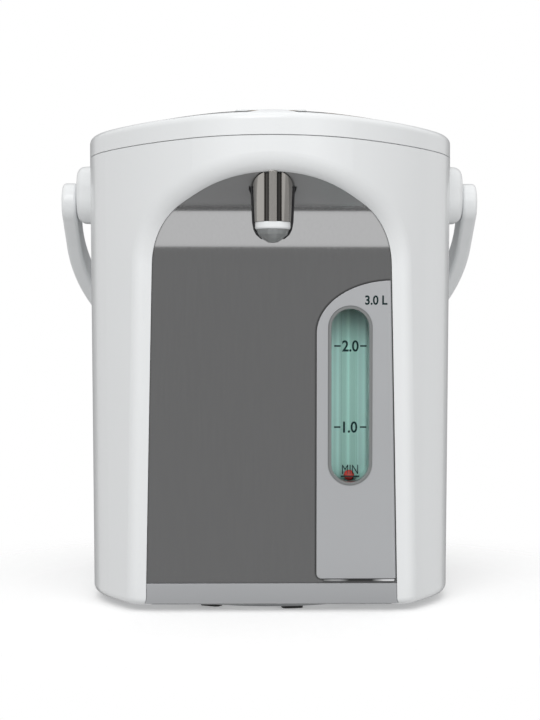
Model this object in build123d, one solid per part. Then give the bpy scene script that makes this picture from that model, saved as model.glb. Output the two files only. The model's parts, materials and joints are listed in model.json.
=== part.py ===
"""Electric thermo pot: a white oval casing with an overhanging pouring head,
a silver front with a water gauge, a hinged lid, a swinging bail handle and a
swivel base.  Millimetres, +Z up, the front faces -Y, the origin lies on the
table under the middle of the whole, from the nose to the resting handle.
The pieces are drawn about the middle of the casing and moved to the origin
at the end."""
from build123d import *
from math import atan2, cos, degrees, hypot, radians, sin, tan
import os

# ---------------------------------------------------------------- body plan
half_width = 117.5          # widest half of the plan, at the seam
nose_radius = 78.0          # plan radius of the pouring head's nose
nose_angle = 37.0           # how far round the nose arc runs, in degrees
flank_angle = 58.0          # where the flank arc hands over to the shoulder
shoulder_radius = 91.6      # plan radius that turns into the straight side
side_length = 28.0          # straight stretch of each side
casing_lean = 0.6           # the casing narrows towards its foot, in degrees

# ---------------------------------------------------------------- heights
casing_foot_z = 4.0         # lower edge of the casing
seam_z = 283.0              # joint between casing and top frame
rim_height = 13.9           # upright band of the top frame
roof_start = 4.5            # flat ledge inside the rim
roof_break = 14.0           # inset where the steep shoulder of the top ends
roof_break_rise = 2.3       # height of that shoulder
roof_end = 62.0             # inset where the top becomes level
roof_height = 8.6           # the level part lies this much over the rim
cutter_reach = 400.0        # longer than anything that is trimmed

# ---------------------------------------------------------------- walls, gaps
casing_wall = 2.5
foot_round = 4.5            # rounding of the casing's lower edge
rim_round = 4.2             # rounding of the top frame's rim
skirt_depth = 4.0           # the top frame's skirt inside the casing
seam_gap = 0.4              # visible line between casing and top frame
fit_gap = 0.3               # between covers that only meet
pin_gap = 0.05              # radial running clearance of pins

# ---------------------------------------------------------------- front recess
cove_back = 3.8             # cove axis behind the nose
cove_drop = 73.0            # cove axis below the seam
cove_radius = 45.0
front_lean = 2.2            # the front panel leans forward, in degrees
ceiling_angle = 55.0        # how far the cove turns before the ceiling
arch_roll = 12.0            # rolled edge of the casing round the recess
panel_margin = 6.6          # width that the roll takes from the panel
pocket_depth = 1.4          # recess that the sheets lie in
sheet_thickness = 1.2
front_wall = 2.6
liner_set = 4.0             # the casing reaches this far behind the sheets' edges
strip_foot_z = 5.2
strip_height = 12.4         # base strip, up to its joint with the front panel

# ---------------------------------------------------------------- water gauge
gauge_x = 47.5              # centre line of the window
gauge_left_x = 27.2         # left edge of the gauge plate
gauge_foot_gap = 3.0        # front panel left under the gauge plate
gauge_corner = 3.0
gauge_head_drop = 8.0       # gauge plate's top below the cove axis
gauge_curve_height = 32.0   # height of the curved upper left edge
gauge_curve_width = 46.4
gauge_proud = 1.2
gauge_edge_margin = 0.3     # strip of front panel left beside the plate
window_width = 26.4         # outside the bezel
window_foot = 57.2          # window's lower end over the plate's lower edge
window_head_drop = 15.4     # window's upper end below the plate's top
bezel_width = 1.7
bezel_proud = 0.5
pane_thickness = 1.6
pane_sink = 0.6             # pane face behind the bezel's face
trough_depth = 13.4         # behind the front wall
trough_wall = 1.2
tube_radius = 5.6
tube_bore = 4.7
tube_depth = 10.4           # tube axis behind the panel face
tube_overrun = 14.0         # the tube runs past the window at both ends
stub_radius = 4.2           # stubs that hoses push over
stub_length = 8.0
hose_wall = 1.6
hose_bore = 3.0
float_radius = 3.2
float_height = 4.7          # resting float over the window's lower end
float_head_gap = 4.1        # top of the float's travel below the window's upper end

# ---------------------------------------------------------------- spout
spout_back = 17.8           # spout axis behind the nose
spout_tip_rise = 12.6       # nozzle tip over the cove axis
tip_height = 7.6
ring_height = 4.2
spout_head_drop = 16.0      # top of the spout below the seam
cover_radius_low = 10.9
cover_radius_high = 12.4
cover_wall = 1.6
housing_rim = 1.2           # dark edge showing round the cover
rib_half_width = 2.35
flute_width = 2.7
flute_depth = 1.2
nozzle_bore = 2.2
ring_radius = 10.4

# ---------------------------------------------------------------- container
container_margin = 36.0     # container inside the widest half of the plan
container_wall = 1.0
container_foot_z = 63.0
flange_drop = 15.0          # top of the neck flange below the seam
neck_height = 12.0
shoulder_height = 20.0
shoulder_width = 18.5       # how much the shoulder draws in
flange_width = 8.0
corner_radius = 10.0
insulation_wall = 4.0
insulation_foot_z = 66.0
insulation_head_drop = 2.0  # insulation stops this far below the shoulder
heater_inner = 37.0
heater_width = 27.0
heater_height = 8.0
shield_z = 46.0
shield_thickness = 1.2
stud_radius = 2.5
stud_margin = 13.5          # studs that carry the container, inside its wall
thermostat_radius = 9.0
thermostat_height = 6.0
thermostat_x = -8.0
fuse_length = 16.0
fuse_width = 8.0
fuse_height = 4.0

# ---------------------------------------------------------------- lid
lid_margin = 13.0           # lid edge inside the rim
lid_front_set = 79.8        # front edge behind the nose
lid_front_radius = 156.0
lid_rear_set = 30.8         # rear edge before the back of the pot
lid_corner = 6.0
lid_gap = 0.6
lid_rear_gap = 2.6          # wider, because the rear edge swings back
lid_wall = 2.2
lid_skirt_rise = 8.0        # lower edge of the cover over the seam
base_plate_thickness = 2.6
plug_gap = 1.5              # plug inside the neck
plug_taper = 1.5
plug_wall = 2.5
plug_foot_depth = 6.0       # plug reaches below the neck flange
plug_floor = 2.0
inner_plate_thickness = 1.2
well_wall = 2.5
gasket_overlap = 4.0
gasket_height = 3.4
well_gap = 5.5
hinge_behind = 8.0          # hinge axis behind the lid's rear edge
hinge_rise = 0.7            # hinge axis over the rim
barrel_radius = 4.0
hinge_pin_radius = 2.0
hinge_half_length = 40.0
lug_centre_x = 26.0
lug_length = 16.0
vent_radius = 14.0
vent_before_hinge = 51.0
vent_proud = 1.2
chimney_radius = 6.0
chimney_bore = 4.0

# ---------------------------------------------------------------- lid lever
lever_half_width = 22.5
lever_front_set = 2.0       # lever's front behind the lid's front edge
lever_length = 32.0
lever_thickness = 3.0
lever_proud = 5.1           # lever top above the level part of the lid
lever_pin_radius = 1.3
lever_pin_depth = 4.2       # pin axis under the lever's top
lever_lug_radius = 2.6
lever_lug_width = 3.0
lever_lug_set = 5.0         # lugs inside the lever's sides
lever_skin = 1.2
latch_half_width = 8.0
latch_thickness = 3.5
latch_length = 30.0
latch_reach = 3.6           # tongue in front of the lid's edge
latch_travel = 4.5
latch_rise = 4.5            # latch over the lower edge of the cover

# ---------------------------------------------------------------- controls
fascia_margin = 9.0
fascia_gap = 4.0            # between fascia and lid
fascia_half_width = 78.0
fascia_thickness = 1.8
fascia_corner = 2.5
shelf_thickness = 2.2       # shelf of the top frame under the fascia
button_proud = 0.2
button_gap = 0.35
button_travel = 1.5
large_key = (30.0, 13.0)
small_key = (14.0, 8.0)
round_key_radius = 5.5
large_key_set = 57.0        # middle of each row of keys before the lid
round_key_set = 45.0
small_key_set = 24.0
round_key_x = 32.0
small_key_x = (22.0, 44.0)
lcd_size = (40.0, 18.0)
lcd_x = -22.0
lcd_set = 26.0
lens_pitch = 14.0
lens_set = 41.0
lens_radius = 1.2
board_drop = 1.0            # control board below the seam
board_thickness = 1.6
switch_height = 3.4
switch_width = 6.0
stem_radius = 2.2
lip_half_width = 13.0       # low hump of the rim before the large key
lip_height = 1.0

# ---------------------------------------------------------------- handle
pivot_drop = 25.0           # pivot axis below the seam
ear_stand = 11.1            # outer face of the ears beyond the casing
ear_centre_rise = 5.4
ear_height = 38.0
ear_depth = 36.0
ear_base_depth = 52.0
ear_round = 5.0
handle_gap = 0.4
handle_thickness = 9.8
handle_straight = 30.0
handle_bow = 148.0          # depth of the elliptical bow
handle_rest = 42.0          # degrees below level, hanging to the rear
eye_radius = 13.5
grip_half_width = 9.0
handle_round = 2.4
pivot_radius = 7.0
pivot_length = 6.0

# ---------------------------------------------------------------- base
disc_margin = 29.5          # swivel disc inside the widest half of the plan
disc_foot_z = 1.8
disc_head_z = 6.6
disc_rim_width = 14.0
plate_foot_z = 4.6
plate_floor_z = 7.0
plate_head_z = 10.0
pad_count = 10
pad_margin = 6.0            # pad centres inside the disc's edge
pad_length = 13.0
pad_width = 8.0
pad_phase = 9.0
hub_radius = 8.0
bearing_margin = 24.0       # raised ring that the pot turns on
bearing_width = 4.0
boss_margin = 19.5          # screw bosses inside the widest half of the plan
boss_angles = (0.0, 54.0)
boss_radius = 4.5
boss_height = 14.0
screw_radius = 1.8
screw_head = 3.5
shield_post_radius = 4.0
shield_post_margin = 4.7
shield_post_angle = 38.7

# ---------------------------------------------------------------- pump
pump_x = 24.0
pump_forward = 18.0         # pump axis before the container's axis
chamber_radius = 22.0
chamber_foot_z = 29.0
chamber_height = 12.0
chamber_wall = 2.0
motor_radius = 16.0
motor_foot_z = 10.0
motor_wall = 3.0
impeller_radius = 17.0
impeller_gap = 1.5
vane_count = 6
vane_thickness = 1.4
vane_height = 3.4
shaft_radius = 1.5
stub_run = 24.0

# ---------------------------------------------------------------- power
socket_z = 38.0
socket_half_width = 24.0
socket_half_height = 14.0
socket_corner = 5.0
socket_depth = 20.0
socket_recess = 12.0
socket_lip = 4.5
power_board_gap = 1.7       # board in front of the socket
power_board_half_width = 44.0
power_board_height = 139.0
rail_height = 6.0


# ================================================================ plan and shells
def sind(angle):
    return sin(radians(angle))


def cosd(angle):
    return cos(radians(angle))


flank_radius = (half_width - nose_radius * sind(nose_angle)
                - shoulder_radius * (1 - sind(flank_angle))) / (sind(flank_angle) - sind(nose_angle))
nose_depth = (nose_radius * (1 - cosd(nose_angle))
              + flank_radius * (cosd(nose_angle) - cosd(flank_angle))
              + shoulder_radius * cosd(flank_angle))
body_depth = nose_depth + side_length + half_width
nose_y = -body_depth / 2
rear_y = body_depth / 2
nose_centre = (0.0, nose_y + nose_radius)
flank_centre = (nose_centre[0] - (flank_radius - nose_radius) * sind(nose_angle),
                nose_centre[1] + (flank_radius - nose_radius) * cosd(nose_angle))
shoulder_centre = (flank_centre[0] + (flank_radius - shoulder_radius) * sind(flank_angle),
                   flank_centre[1] - (flank_radius - shoulder_radius) * cosd(flank_angle))
rear_centre_y = shoulder_centre[1] + side_length
axis_y = rear_centre_y      # container, handle and swivel share this axis

rim_z = seam_z + rim_height
top_z = rim_z + roof_height
cove_y = nose_y + cove_back
cove_z = seam_z - cove_drop
strip_top_z = strip_foot_z + strip_height

gauge_foot = strip_top_z + gauge_foot_gap       # measured up the front panel
gauge_top = cove_z - gauge_head_drop
window_low = gauge_foot + window_foot
window_high = gauge_top - window_head_drop
window_height = window_high - window_low
window_centre = (window_low + window_high) / 2
tube_foot = window_low - tube_overrun
tube_head = window_high + tube_overrun
float_level = window_low + float_height
float_travel = window_high - float_head_gap - float_level

spout_y = nose_y + spout_back
spout_tip_z = cove_z + spout_tip_rise
ring_foot_z = spout_tip_z + tip_height
cover_foot_z = ring_foot_z + ring_height
spout_head_z = seam_z - spout_head_drop

container_radius = half_width - container_margin
flange_z = seam_z - flange_drop
neck_z = flange_z - neck_height
shoulder_z = neck_z - shoulder_height
neck_radius = container_radius - container_wall - shoulder_width
flange_radius = neck_radius + container_wall + flange_width
insulation_head_z = shoulder_z - insulation_head_drop
stud_circle = container_radius - stud_margin

lid_front_y = nose_y + lid_front_set
lid_rear_y = rear_y - lid_rear_set
lid_skirt_z = seam_z + lid_skirt_rise
hinge_y = lid_rear_y + hinge_behind
hinge_z = rim_z + hinge_rise
vent_y = hinge_y - vent_before_hinge
plug_radius = neck_radius - plug_gap
plug_foot_radius = plug_radius - plug_taper
plug_foot_z = flange_z - plug_foot_depth
gasket_radius = neck_radius + gasket_overlap
well_hole_radius = neck_radius + well_gap

lever_top_z = top_z + lever_proud
lever_front_y = lid_front_y + lever_front_set
lever_rear_y = lever_front_y + lever_length
lever_pin_z = lever_top_z - lever_pin_depth
lever_floor_z = lever_pin_z - lever_lug_radius - fit_gap
latch_foot_z = lid_skirt_z + latch_rise
finger_y = lid_front_y + latch_length / 2 + 3   # front of the lever's finger

board_z = seam_z - board_drop
pivot_z = seam_z - pivot_drop
ear_face_x = half_width + ear_stand
ear_centre_z = pivot_z + ear_centre_rise

disc_radius = half_width - disc_margin
pad_circle = disc_radius - pad_margin
bearing_radius = disc_radius - bearing_margin
boss_head_z = plate_head_z + boss_height
shield_post_circle = container_radius - shield_post_margin

pump_y = axis_y - pump_forward
chamber_head_z = chamber_foot_z + chamber_height
pump_stub_z = (chamber_foot_z + chamber_head_z) / 2
pump_stub_x = pump_x + impeller_radius - hose_bore
board_y = rear_y - socket_depth - power_board_gap - board_thickness


def plan_point(centre, radius, angle, side):
    """A point of the plan on an arc, angle counted from straight ahead."""
    return (side * (centre[0] + radius * sind(angle)), centre[1] - radius * cosd(angle))


def plan(inset=0.0):
    """The oval plan, moved inwards by inset."""
    edges = [ThreePointArc(*[plan_point(nose_centre, nose_radius - inset, a, 1)
                             for a in (-nose_angle, 0, nose_angle)])]
    for side in (1, -1):
        edges.append(ThreePointArc(*[plan_point(flank_centre, flank_radius - inset, a, side)
                                     for a in (nose_angle, (nose_angle + flank_angle) / 2, flank_angle)]))
        edges.append(ThreePointArc(*[plan_point(shoulder_centre, shoulder_radius - inset, a, side)
                                     for a in (flank_angle, (flank_angle + 90) / 2, 90)]))
        edges.append(Line((side * (half_width - inset), shoulder_centre[1]),
                          (side * (half_width - inset), rear_centre_y)))
    rear = half_width - inset
    edges.append(ThreePointArc((rear, rear_centre_y), (0, rear_centre_y + rear), (-rear, rear_centre_y)))
    return make_face(edges)


def upright(outline, low, high):
    """An outline on the table plane, raised between two heights."""
    return extrude(Pos(0, 0, low) * outline, amount=high - low)


def casing_block(inset, low, high):
    """The casing's outer form, moved inwards by inset, between two heights."""
    foot = plan(inset + (seam_z - low) * tan(radians(casing_lean)))
    return extrude(Pos(0, 0, low) * foot, amount=high - low, taper=-casing_lean)


def roof_block(drop, inset=0.0):
    """The top frame's outer form, lowered by drop and moved inwards by inset."""
    band = upright(plan(inset), seam_z + seam_gap, rim_z - drop)
    levels = [(max(inset, roof_start), rim_z), (roof_break, rim_z + roof_break_rise), (roof_end, top_z)]
    slope = loft([Pos(0, 0, z - drop) * plan(step) for step, z in levels], ruled=True)
    return band + slope


def roof_slab(outline, high_drop, low_drop):
    """A sheet that follows the top, between two drops, inside an outline."""
    column = upright(outline, seam_z + rim_height / 2, top_z + rim_height)
    return column & (roof_block(high_drop) - roof_block(low_drop))


def recess_block(depth):
    """Everything in front of the recess surface, set back by depth."""
    radius = cove_radius + depth

    def on_cove(angle):
        return (cove_y + radius * cosd(angle), cove_z + radius * sind(angle))

    low, high = on_cove(front_lean), on_cove(ceiling_angle)
    foot = (low[0] + sind(front_lean) * cutter_reach, low[1] - cosd(front_lean) * cutter_reach)
    reach = cutter_reach / 4
    head = (high[0] - sind(ceiling_angle) * reach, high[1] + cosd(ceiling_angle) * reach)
    edges = [Line(foot, low),
             ThreePointArc(low, on_cove((front_lean + ceiling_angle) / 2), high),
             Line(high, head),
             Line(head, (-cutter_reach, head[1])),
             Line((-cutter_reach, head[1]), (-cutter_reach, foot[1])),
             Line((-cutter_reach, foot[1]), foot)]
    return extrude(Plane.YZ * make_face(edges), amount=cutter_reach / 2, both=True)


def recess_sheet(front, back, inset, low, high):
    """A sheet that follows the recess between two depths, inside the oval."""
    band = recess_block(back) - recess_block(front)
    return band & casing_block(inset, low, high)


def panel_height_plane(height, out=0.0):
    """A plane on the flat front, height up it; local x is +X, local y is up."""
    along = (cove_z + cove_radius * sind(front_lean)) / cosd(front_lean) - height
    y = cove_y + cove_radius * cosd(front_lean) + along * sind(front_lean)
    z = cove_z + cove_radius * sind(front_lean) - along * cosd(front_lean)
    origin = (0, y - out * cosd(front_lean), z - out * sind(front_lean))
    return Plane(origin=origin, x_dir=(1, 0, 0), z_dir=(0, -cosd(front_lean), -sind(front_lean)))


def on_panel(outline, back, front):
    """An outline drawn on the flat front, raised between two distances."""
    return extrude(panel_height_plane(0, back) * outline, amount=front - back)


def stadium(width, height):
    """The gauge window's round-ended outline."""
    return Pos(gauge_x, window_centre) * SlotOverall(height, width, rotation=90)


def ring(outer, inner, low, high, x=0.0, y=axis_y):
    """A round tube standing on end."""
    return upright(Pos(x, y) * (Circle(outer) - Circle(inner)), low, high)


def post(radius, low, high, x=0.0, y=axis_y):
    """A round post standing on end."""
    return upright(Pos(x, y) * Circle(radius), low, high)


def turned(points, x=0.0, y=axis_y):
    """A piece turned about an upright axis from (radius, height) points."""
    return Pos(x, y, 0) * revolve(Plane.XZ * make_face(Polyline(*points, close=True)), Axis.Z)


def cross_bar(radius, half_length, y, z):
    """A round bar lying along X."""
    return extrude(Plane(origin=(-half_length, y, z), z_dir=(1, 0, 0)) * Circle(radius),
                   amount=2 * half_length)


def block(x0, x1, y0, y1, z0, z1):
    """A plain block between corner values."""
    return Pos((x0 + x1) / 2, (y0 + y1) / 2, (z0 + z1) / 2) * Box(x1 - x0, y1 - y0, z1 - z0)


def hose(points, bend, outer, inner):
    """A hose along straight runs joined by bends."""
    path = FilletPolyline(*points, radius=bend)
    start = Plane(origin=path @ 0, z_dir=path % 0)
    return sweep(start * (Circle(outer) - Circle(inner)), path=path)


# ================================================================ outer casing
def boss_places():
    """Where the base screws enter the casing, and on which side."""
    circle = half_width - boss_margin
    return [(side * circle * cosd(angle), axis_y + circle * sind(angle), side)
            for side in (1, -1) for angle in boss_angles]


def socket_outline(grow=0.0):
    """The power socket's outline on the rear of the casing."""
    size = (2 * (socket_half_width + grow), 2 * (socket_half_height + grow))
    return RectangleRounded(*size, socket_corner + grow)


def spout_opening():
    """The hole for the spout: wide behind for its housing, narrow in front."""
    wide = post(cover_radius_high + housing_rim + fit_gap, spout_tip_z, seam_z, 0, spout_y)
    return rear_half(wide) + post(cover_radius_high - cover_wall, spout_tip_z, seam_z, 0, spout_y)


def window_opening():
    """The hole for the gauge's bezel."""
    outline = stadium(window_width + 2 * fit_gap, window_height + 2 * fit_gap)
    return on_panel(outline, -front_wall * 8, front_wall * 8)


def rear_column(outline, low_y, high_y):
    """An outline on the rear wall, run along Y between two places."""
    plane = Plane(origin=(0, high_y, socket_z), x_dir=(1, 0, 0), z_dir=(0, -1, 0))
    return extrude(plane * outline, amount=high_y - low_y)


def casing_front():
    """The casing's outer form with the recess cut in and its edges rolled."""
    front = casing_block(0, casing_foot_z, seam_z) - recess_block(0)
    front = fillet([edge for edge in front.edges() if is_arch_edge(edge)], arch_roll)
    foot_edges = front.edges().filter_by_position(Axis.Z, casing_foot_z - 0.1, casing_foot_z + 0.1)
    front = fillet(foot_edges, foot_round)
    return front - recess_sheet(0, pocket_depth, panel_margin, strip_foot_z - fit_gap, seam_z)


def liner_zone():
    """Where the wall behind the front sheets is its own moulding."""
    return casing_block(panel_margin + liner_set, 0, seam_z) & recess_block(pocket_depth + front_wall)


def make_outer_casing():
    hollow = casing_block(casing_wall, casing_foot_z - 10, seam_z + 10)
    hollow -= recess_block(pocket_depth + front_wall)
    casing = casing_front() - hollow - liner_zone()
    casing -= rear_column(socket_outline(fit_gap), rear_centre_y, rear_centre_y + cutter_reach)
    for x, y, side in boss_places():
        boss = post(boss_radius, plate_head_z + fit_gap, boss_head_z, x, y)
        reach = boss_margin
        web = block(x - 1.2, x + 1.2, y, y + reach, plate_head_z + fit_gap, boss_head_z)
        web += block(min(x, x + side * reach), max(x, x + side * reach), y - 1.2, y + 1.2,
                     plate_head_z + fit_gap, boss_head_z)
        casing += (boss + web) & casing_block(casing_wall / 2, casing_foot_z, seam_z)
        casing -= post(screw_radius + pin_gap, casing_foot_z, boss_head_z - 2, x, y)
    return casing


def make_front_liner():
    """The moulded wall in the casing's recess that carries the front sheets."""
    return (casing_front() & liner_zone()) - window_opening() - spout_opening()


def is_arch_edge(edge):
    """True for the edges where the recess meets the oval."""
    def off_recess(point):
        angle = degrees(atan2(point.Z - cove_z, point.Y - cove_y))
        angle = min(max(angle, front_lean), ceiling_angle)
        reach = (point.Y - cove_y) * cosd(angle) + (point.Z - cove_z) * sind(angle)
        return abs(reach - cove_radius)

    middle, early = edge @ 0.5, edge @ 0.2
    level_across = abs(middle.Y - early.Y) < 1e-4 and abs(middle.Z - early.Z) < 1e-4
    return off_recess(middle) < 0.02 and off_recess(early) < 0.02 and not level_across


def make_recess_panel():
    panel = recess_sheet(pocket_depth - sheet_thickness, pocket_depth, panel_margin + fit_gap,
                         strip_top_z + fit_gap / 2, seam_z)
    return panel - window_opening() - spout_opening()


def make_base_strip():
    return recess_sheet(0, pocket_depth, panel_margin + fit_gap, strip_foot_z, strip_top_z - fit_gap / 2)


# ================================================================ water gauge
def gauge_outline():
    """The gauge plate: straight left edge, then a quarter ellipse to the right."""
    right_x, curve_z = half_width, gauge_top - gauge_curve_height
    top_x = gauge_left_x + gauge_curve_width
    edges = [Line((gauge_left_x, gauge_foot), (gauge_left_x, curve_z)),
             EllipticalCenterArc((top_x, curve_z), gauge_curve_width, gauge_curve_height, 90, arc_size=90),
             Line((top_x, gauge_top), (right_x, gauge_top)),
             Line((right_x, gauge_top), (right_x, gauge_foot)),
             Line((right_x, gauge_foot), (gauge_left_x, gauge_foot))]
    outline = make_face(edges)
    lower_left = outline.vertices().sort_by(lambda corner: corner.X + corner.Y)[0]
    return fillet(lower_left, gauge_corner)


def make_gauge_plate():
    back = sheet_thickness - pocket_depth
    plate = on_panel(gauge_outline(), back, back + gauge_proud + fit_gap / 2)
    plate &= casing_block(panel_margin + fit_gap + gauge_edge_margin, strip_foot_z, seam_z)
    plate -= on_panel(stadium(window_width + fit_gap, window_height + fit_gap), -5, 5)
    return plate


def bezel_front():
    return gauge_proud + bezel_proud


def trough_front():
    return -(pocket_depth + front_wall)


def make_gauge_bezel():
    outline = stadium(window_width, window_height)
    outline -= stadium(window_width - 2 * bezel_width, window_height - 2 * bezel_width)
    return on_panel(outline, trough_front(), bezel_front())


def pane_outline(gap):
    return stadium(window_width - 2 * bezel_width - gap, window_height - 2 * bezel_width - gap)


def make_gauge_pane():
    face = bezel_front() - pane_sink
    return on_panel(pane_outline(2 * pin_gap), face - pane_thickness, face)


def make_gauge_trough():
    grow = 2 * trough_wall
    outer = stadium(window_width - 2 * bezel_width + grow * 2, window_height - 2 * bezel_width + grow * 2)
    trough = on_panel(outer, trough_front() - trough_depth, trough_front())
    trough -= on_panel(pane_outline(0), trough_front() - trough_depth + trough_wall, 5)
    return trough - gauge_column(tube_radius + pin_gap, 0, seam_z)


def gauge_column(radius, low, high):
    """A round bar up the front panel on the tube's axis."""
    plane = panel_height_plane(low, -tube_depth)
    turned_plane = Plane(origin=plane.from_local_coords((gauge_x, 0, 0)), z_dir=plane.y_dir)
    return extrude(turned_plane * Circle(radius), amount=high - low)


def make_gauge_tube():
    """A clear tube that steps down to a hose stub at each end."""
    low, high = tube_foot + stub_length, tube_head - stub_length
    tube = gauge_column(tube_radius, low, high) + gauge_column(stub_radius, tube_foot, tube_head)
    tube -= gauge_column(hose_bore, tube_foot - 1, tube_head + 1)
    return tube - gauge_column(tube_bore, low + hose_wall, high - hose_wall)


def tube_point(height):
    """A point of the tube's axis, height up the front."""
    plane = panel_height_plane(height, -tube_depth)
    return plane.from_local_coords((gauge_x, 0, 0))


def make_float_ball():
    return Pos(*tube_point(float_level)) * Sphere(float_radius)


# ================================================================ spout
def front_half(piece):
    return piece & block(-half_width, half_width, spout_y - half_width, spout_y, 0, top_z)


def rear_half(piece):
    return piece & block(-half_width, half_width, spout_y, spout_y + half_width, 0, top_z)


def tip_profile(grow):
    """The nozzle tip's outer line, upwards, grown by grow."""
    wide = ring_radius - 0.6 + grow
    return [(wide * 0.62, spout_tip_z + tip_height * 0.28), (wide * 0.87, spout_tip_z + tip_height * 0.6),
            (wide, ring_foot_z - 0.1)]


def make_spout_housing():
    """The dark rear half of the spout, open to the front."""
    outer_line, inner_line = tip_profile(fit_gap + housing_rim), tip_profile(fit_gap)
    foot_z = outer_line[0][1]
    outer = turned([(0, foot_z), *outer_line, (cover_radius_low + housing_rim, cover_foot_z),
                    (cover_radius_high + housing_rim, spout_head_z), (0, spout_head_z)], 0, spout_y)
    inner = turned([(0, foot_z - 1), (inner_line[0][0] - 1, foot_z - 1), *inner_line,
                    (ring_radius + pin_gap, ring_foot_z), (ring_radius + pin_gap, cover_foot_z - 0.1),
                    (cover_radius_low + 0.1, cover_foot_z), (cover_radius_high + 0.1, spout_head_z + 1),
                    (0, spout_head_z + 1)], 0, spout_y)
    return rear_half(outer - inner)


def cover_cone(inset, overrun):
    """The cover's cone, moved inwards by inset and run past both ends."""
    return turned([(0, cover_foot_z - overrun), (cover_radius_low - inset, cover_foot_z - overrun),
                   (cover_radius_high - inset, spout_head_z + overrun), (0, spout_head_z + overrun)],
                  0, spout_y)


def make_spout_cover():
    """The bright front half of the spout: a raised rib between two flutes."""
    cover = cover_cone(0, 0) - cover_cone(cover_wall, 1)
    for side in (1, -1):
        start, end = sorted((side * rib_half_width, side * (rib_half_width + flute_width)))
        flute = block(start, end, spout_y - cover_radius_high - 1, spout_y, 0, top_z)
        cover -= flute - cover_cone(flute_depth, 1)
    return front_half(cover) & recess_block(-fit_gap)


def make_nozzle_ring():
    return turned([(nozzle_bore + 1, ring_foot_z), (ring_radius - 0.5, ring_foot_z),
                   (ring_radius, ring_foot_z + 0.8), (ring_radius, cover_foot_z - 0.1),
                   (nozzle_bore + 1, cover_foot_z - 0.1)], 0, spout_y)


def make_nozzle_tip():
    """The clear tip, drawn in towards the mouth."""
    return turned([(nozzle_bore, spout_tip_z), (nozzle_bore + 0.7, spout_tip_z + 0.1), *tip_profile(0),
                   (nozzle_bore, ring_foot_z - 0.1)], 0, spout_y)


def make_outlet_elbow():
    """The pipe that turns down into the nozzle, with its seating flange."""
    start_z = spout_head_z + 6
    points = [(0, spout_y + 24, start_z), (0, spout_y, start_z), (0, spout_y, cover_foot_z)]
    elbow = hose(points, 9, stub_radius, hose_bore)
    flange = ring(cover_radius_low - cover_wall - 0.4, hose_bore + 0.5, cover_foot_z, cover_foot_z + 2,
                  0, spout_y)
    return elbow + flange


def make_riser_hose():
    """From the head of the gauge tube to the elbow over the spout."""
    end_z = spout_head_z + 6
    corner = tube_point(tube_head + end_z - tube_point(tube_head).Z)
    turn_y = corner.Y + 8
    points = [tuple(tube_point(tube_head - 6)), (corner.X, corner.Y, end_z), (0, turn_y, end_z),
              (0, spout_y + 16, end_z)]
    return hose(points, 9, stub_radius + hose_wall, stub_radius + pin_gap)


# ================================================================ container
def make_container_body():
    """Floor and wall of the container, with the stub that feeds the pump."""
    outer_r, foot, wall, step = container_radius, container_foot_z, container_wall, corner_radius / 3
    body = turned([(0, foot), (outer_r - corner_radius, foot), (outer_r - step, foot + step),
                   (outer_r, foot + corner_radius), (outer_r, shoulder_z), (outer_r - wall, shoulder_z),
                   (outer_r - wall, foot + corner_radius), (outer_r - step - wall, foot + step + wall),
                   (outer_r - corner_radius, foot + wall), (0, foot + wall)])
    body += ring(stub_radius, hose_bore, foot - 12, foot + wall, pump_x, pump_y)
    return body - post(hose_bore, foot - 13, foot + wall + 1, pump_x, pump_y)


def make_container_neck():
    """Shoulder, neck and flange, welded onto the wall."""
    wall, head = container_wall, flange_z
    return turned([(container_radius - wall, shoulder_z), (container_radius, shoulder_z),
                   (neck_radius + wall, neck_z), (neck_radius + wall, head - wall),
                   (flange_radius, head - wall), (flange_radius, head), (neck_radius, head),
                   (neck_radius, neck_z - wall / 2)])


def make_insulation():
    inner = container_radius + fit_gap
    return ring(inner + insulation_wall, inner, insulation_foot_z, insulation_head_z)


def make_heater():
    low = container_foot_z - heater_height
    return ring(heater_inner + heater_width, heater_inner, low, container_foot_z)


def make_thermostat():
    """A snap disc switch pressed against the container's floor."""
    face_z, x, y = container_foot_z, thermostat_x, axis_y + thermostat_height
    cap = post(thermostat_radius, face_z - thermostat_height, face_z, x, y)
    return cap + post(thermostat_radius / 2, face_z - thermostat_height - 4, face_z - thermostat_height, x, y)


def make_thermal_fuse():
    middle_x = -heater_inner - heater_width / 2
    head = container_foot_z - heater_height
    return block(middle_x - fuse_length / 2, middle_x + fuse_length / 2,
                 axis_y - fuse_width / 2, axis_y + fuse_width / 2, head - fuse_height, head)


def make_heat_shield():
    """A dish under the container, with the four studs that carry it."""
    outer, wall = container_radius + insulation_wall + fit_gap, shield_thickness
    dish = turned([(0, shield_z), (outer, shield_z), (outer, insulation_foot_z),
                   (outer - wall, insulation_foot_z), (outer - wall, shield_z + wall), (0, shield_z + wall)])
    for turn in range(45, 360, 90):
        x, y = stud_circle * cosd(turn), axis_y + stud_circle * sind(turn)
        dish += post(stud_radius, shield_z, container_foot_z, x, y)
    return dish - post(3 * stub_radius, shield_z - 1, shield_z + 3, pump_x, pump_y)


# ================================================================ pump
def make_pump_housing():
    """The impeller's chamber with a stub on top and one at the side."""
    foot, head = chamber_foot_z, chamber_head_z
    room = post(impeller_radius + impeller_gap, foot + chamber_wall, head - chamber_wall, pump_x, pump_y)
    shell = post(chamber_radius, foot, head, pump_x, pump_y) - room
    shell += ring(stub_radius, hose_bore, head - chamber_wall, head + stub_length, pump_x, pump_y)
    shell -= post(hose_bore, head - chamber_wall - 1, head + stub_length, pump_x, pump_y)
    shell += post(shaft_radius, foot, head - 2 * chamber_wall, pump_x, pump_y)
    side = Plane(origin=(pump_stub_x, pump_y - impeller_radius / 2, pump_stub_z), z_dir=(0, -1, 0))
    shell += extrude(side * Circle(stub_radius), amount=stub_run) - room
    return shell - extrude(side * Circle(hose_bore), amount=stub_run + 1)


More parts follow.
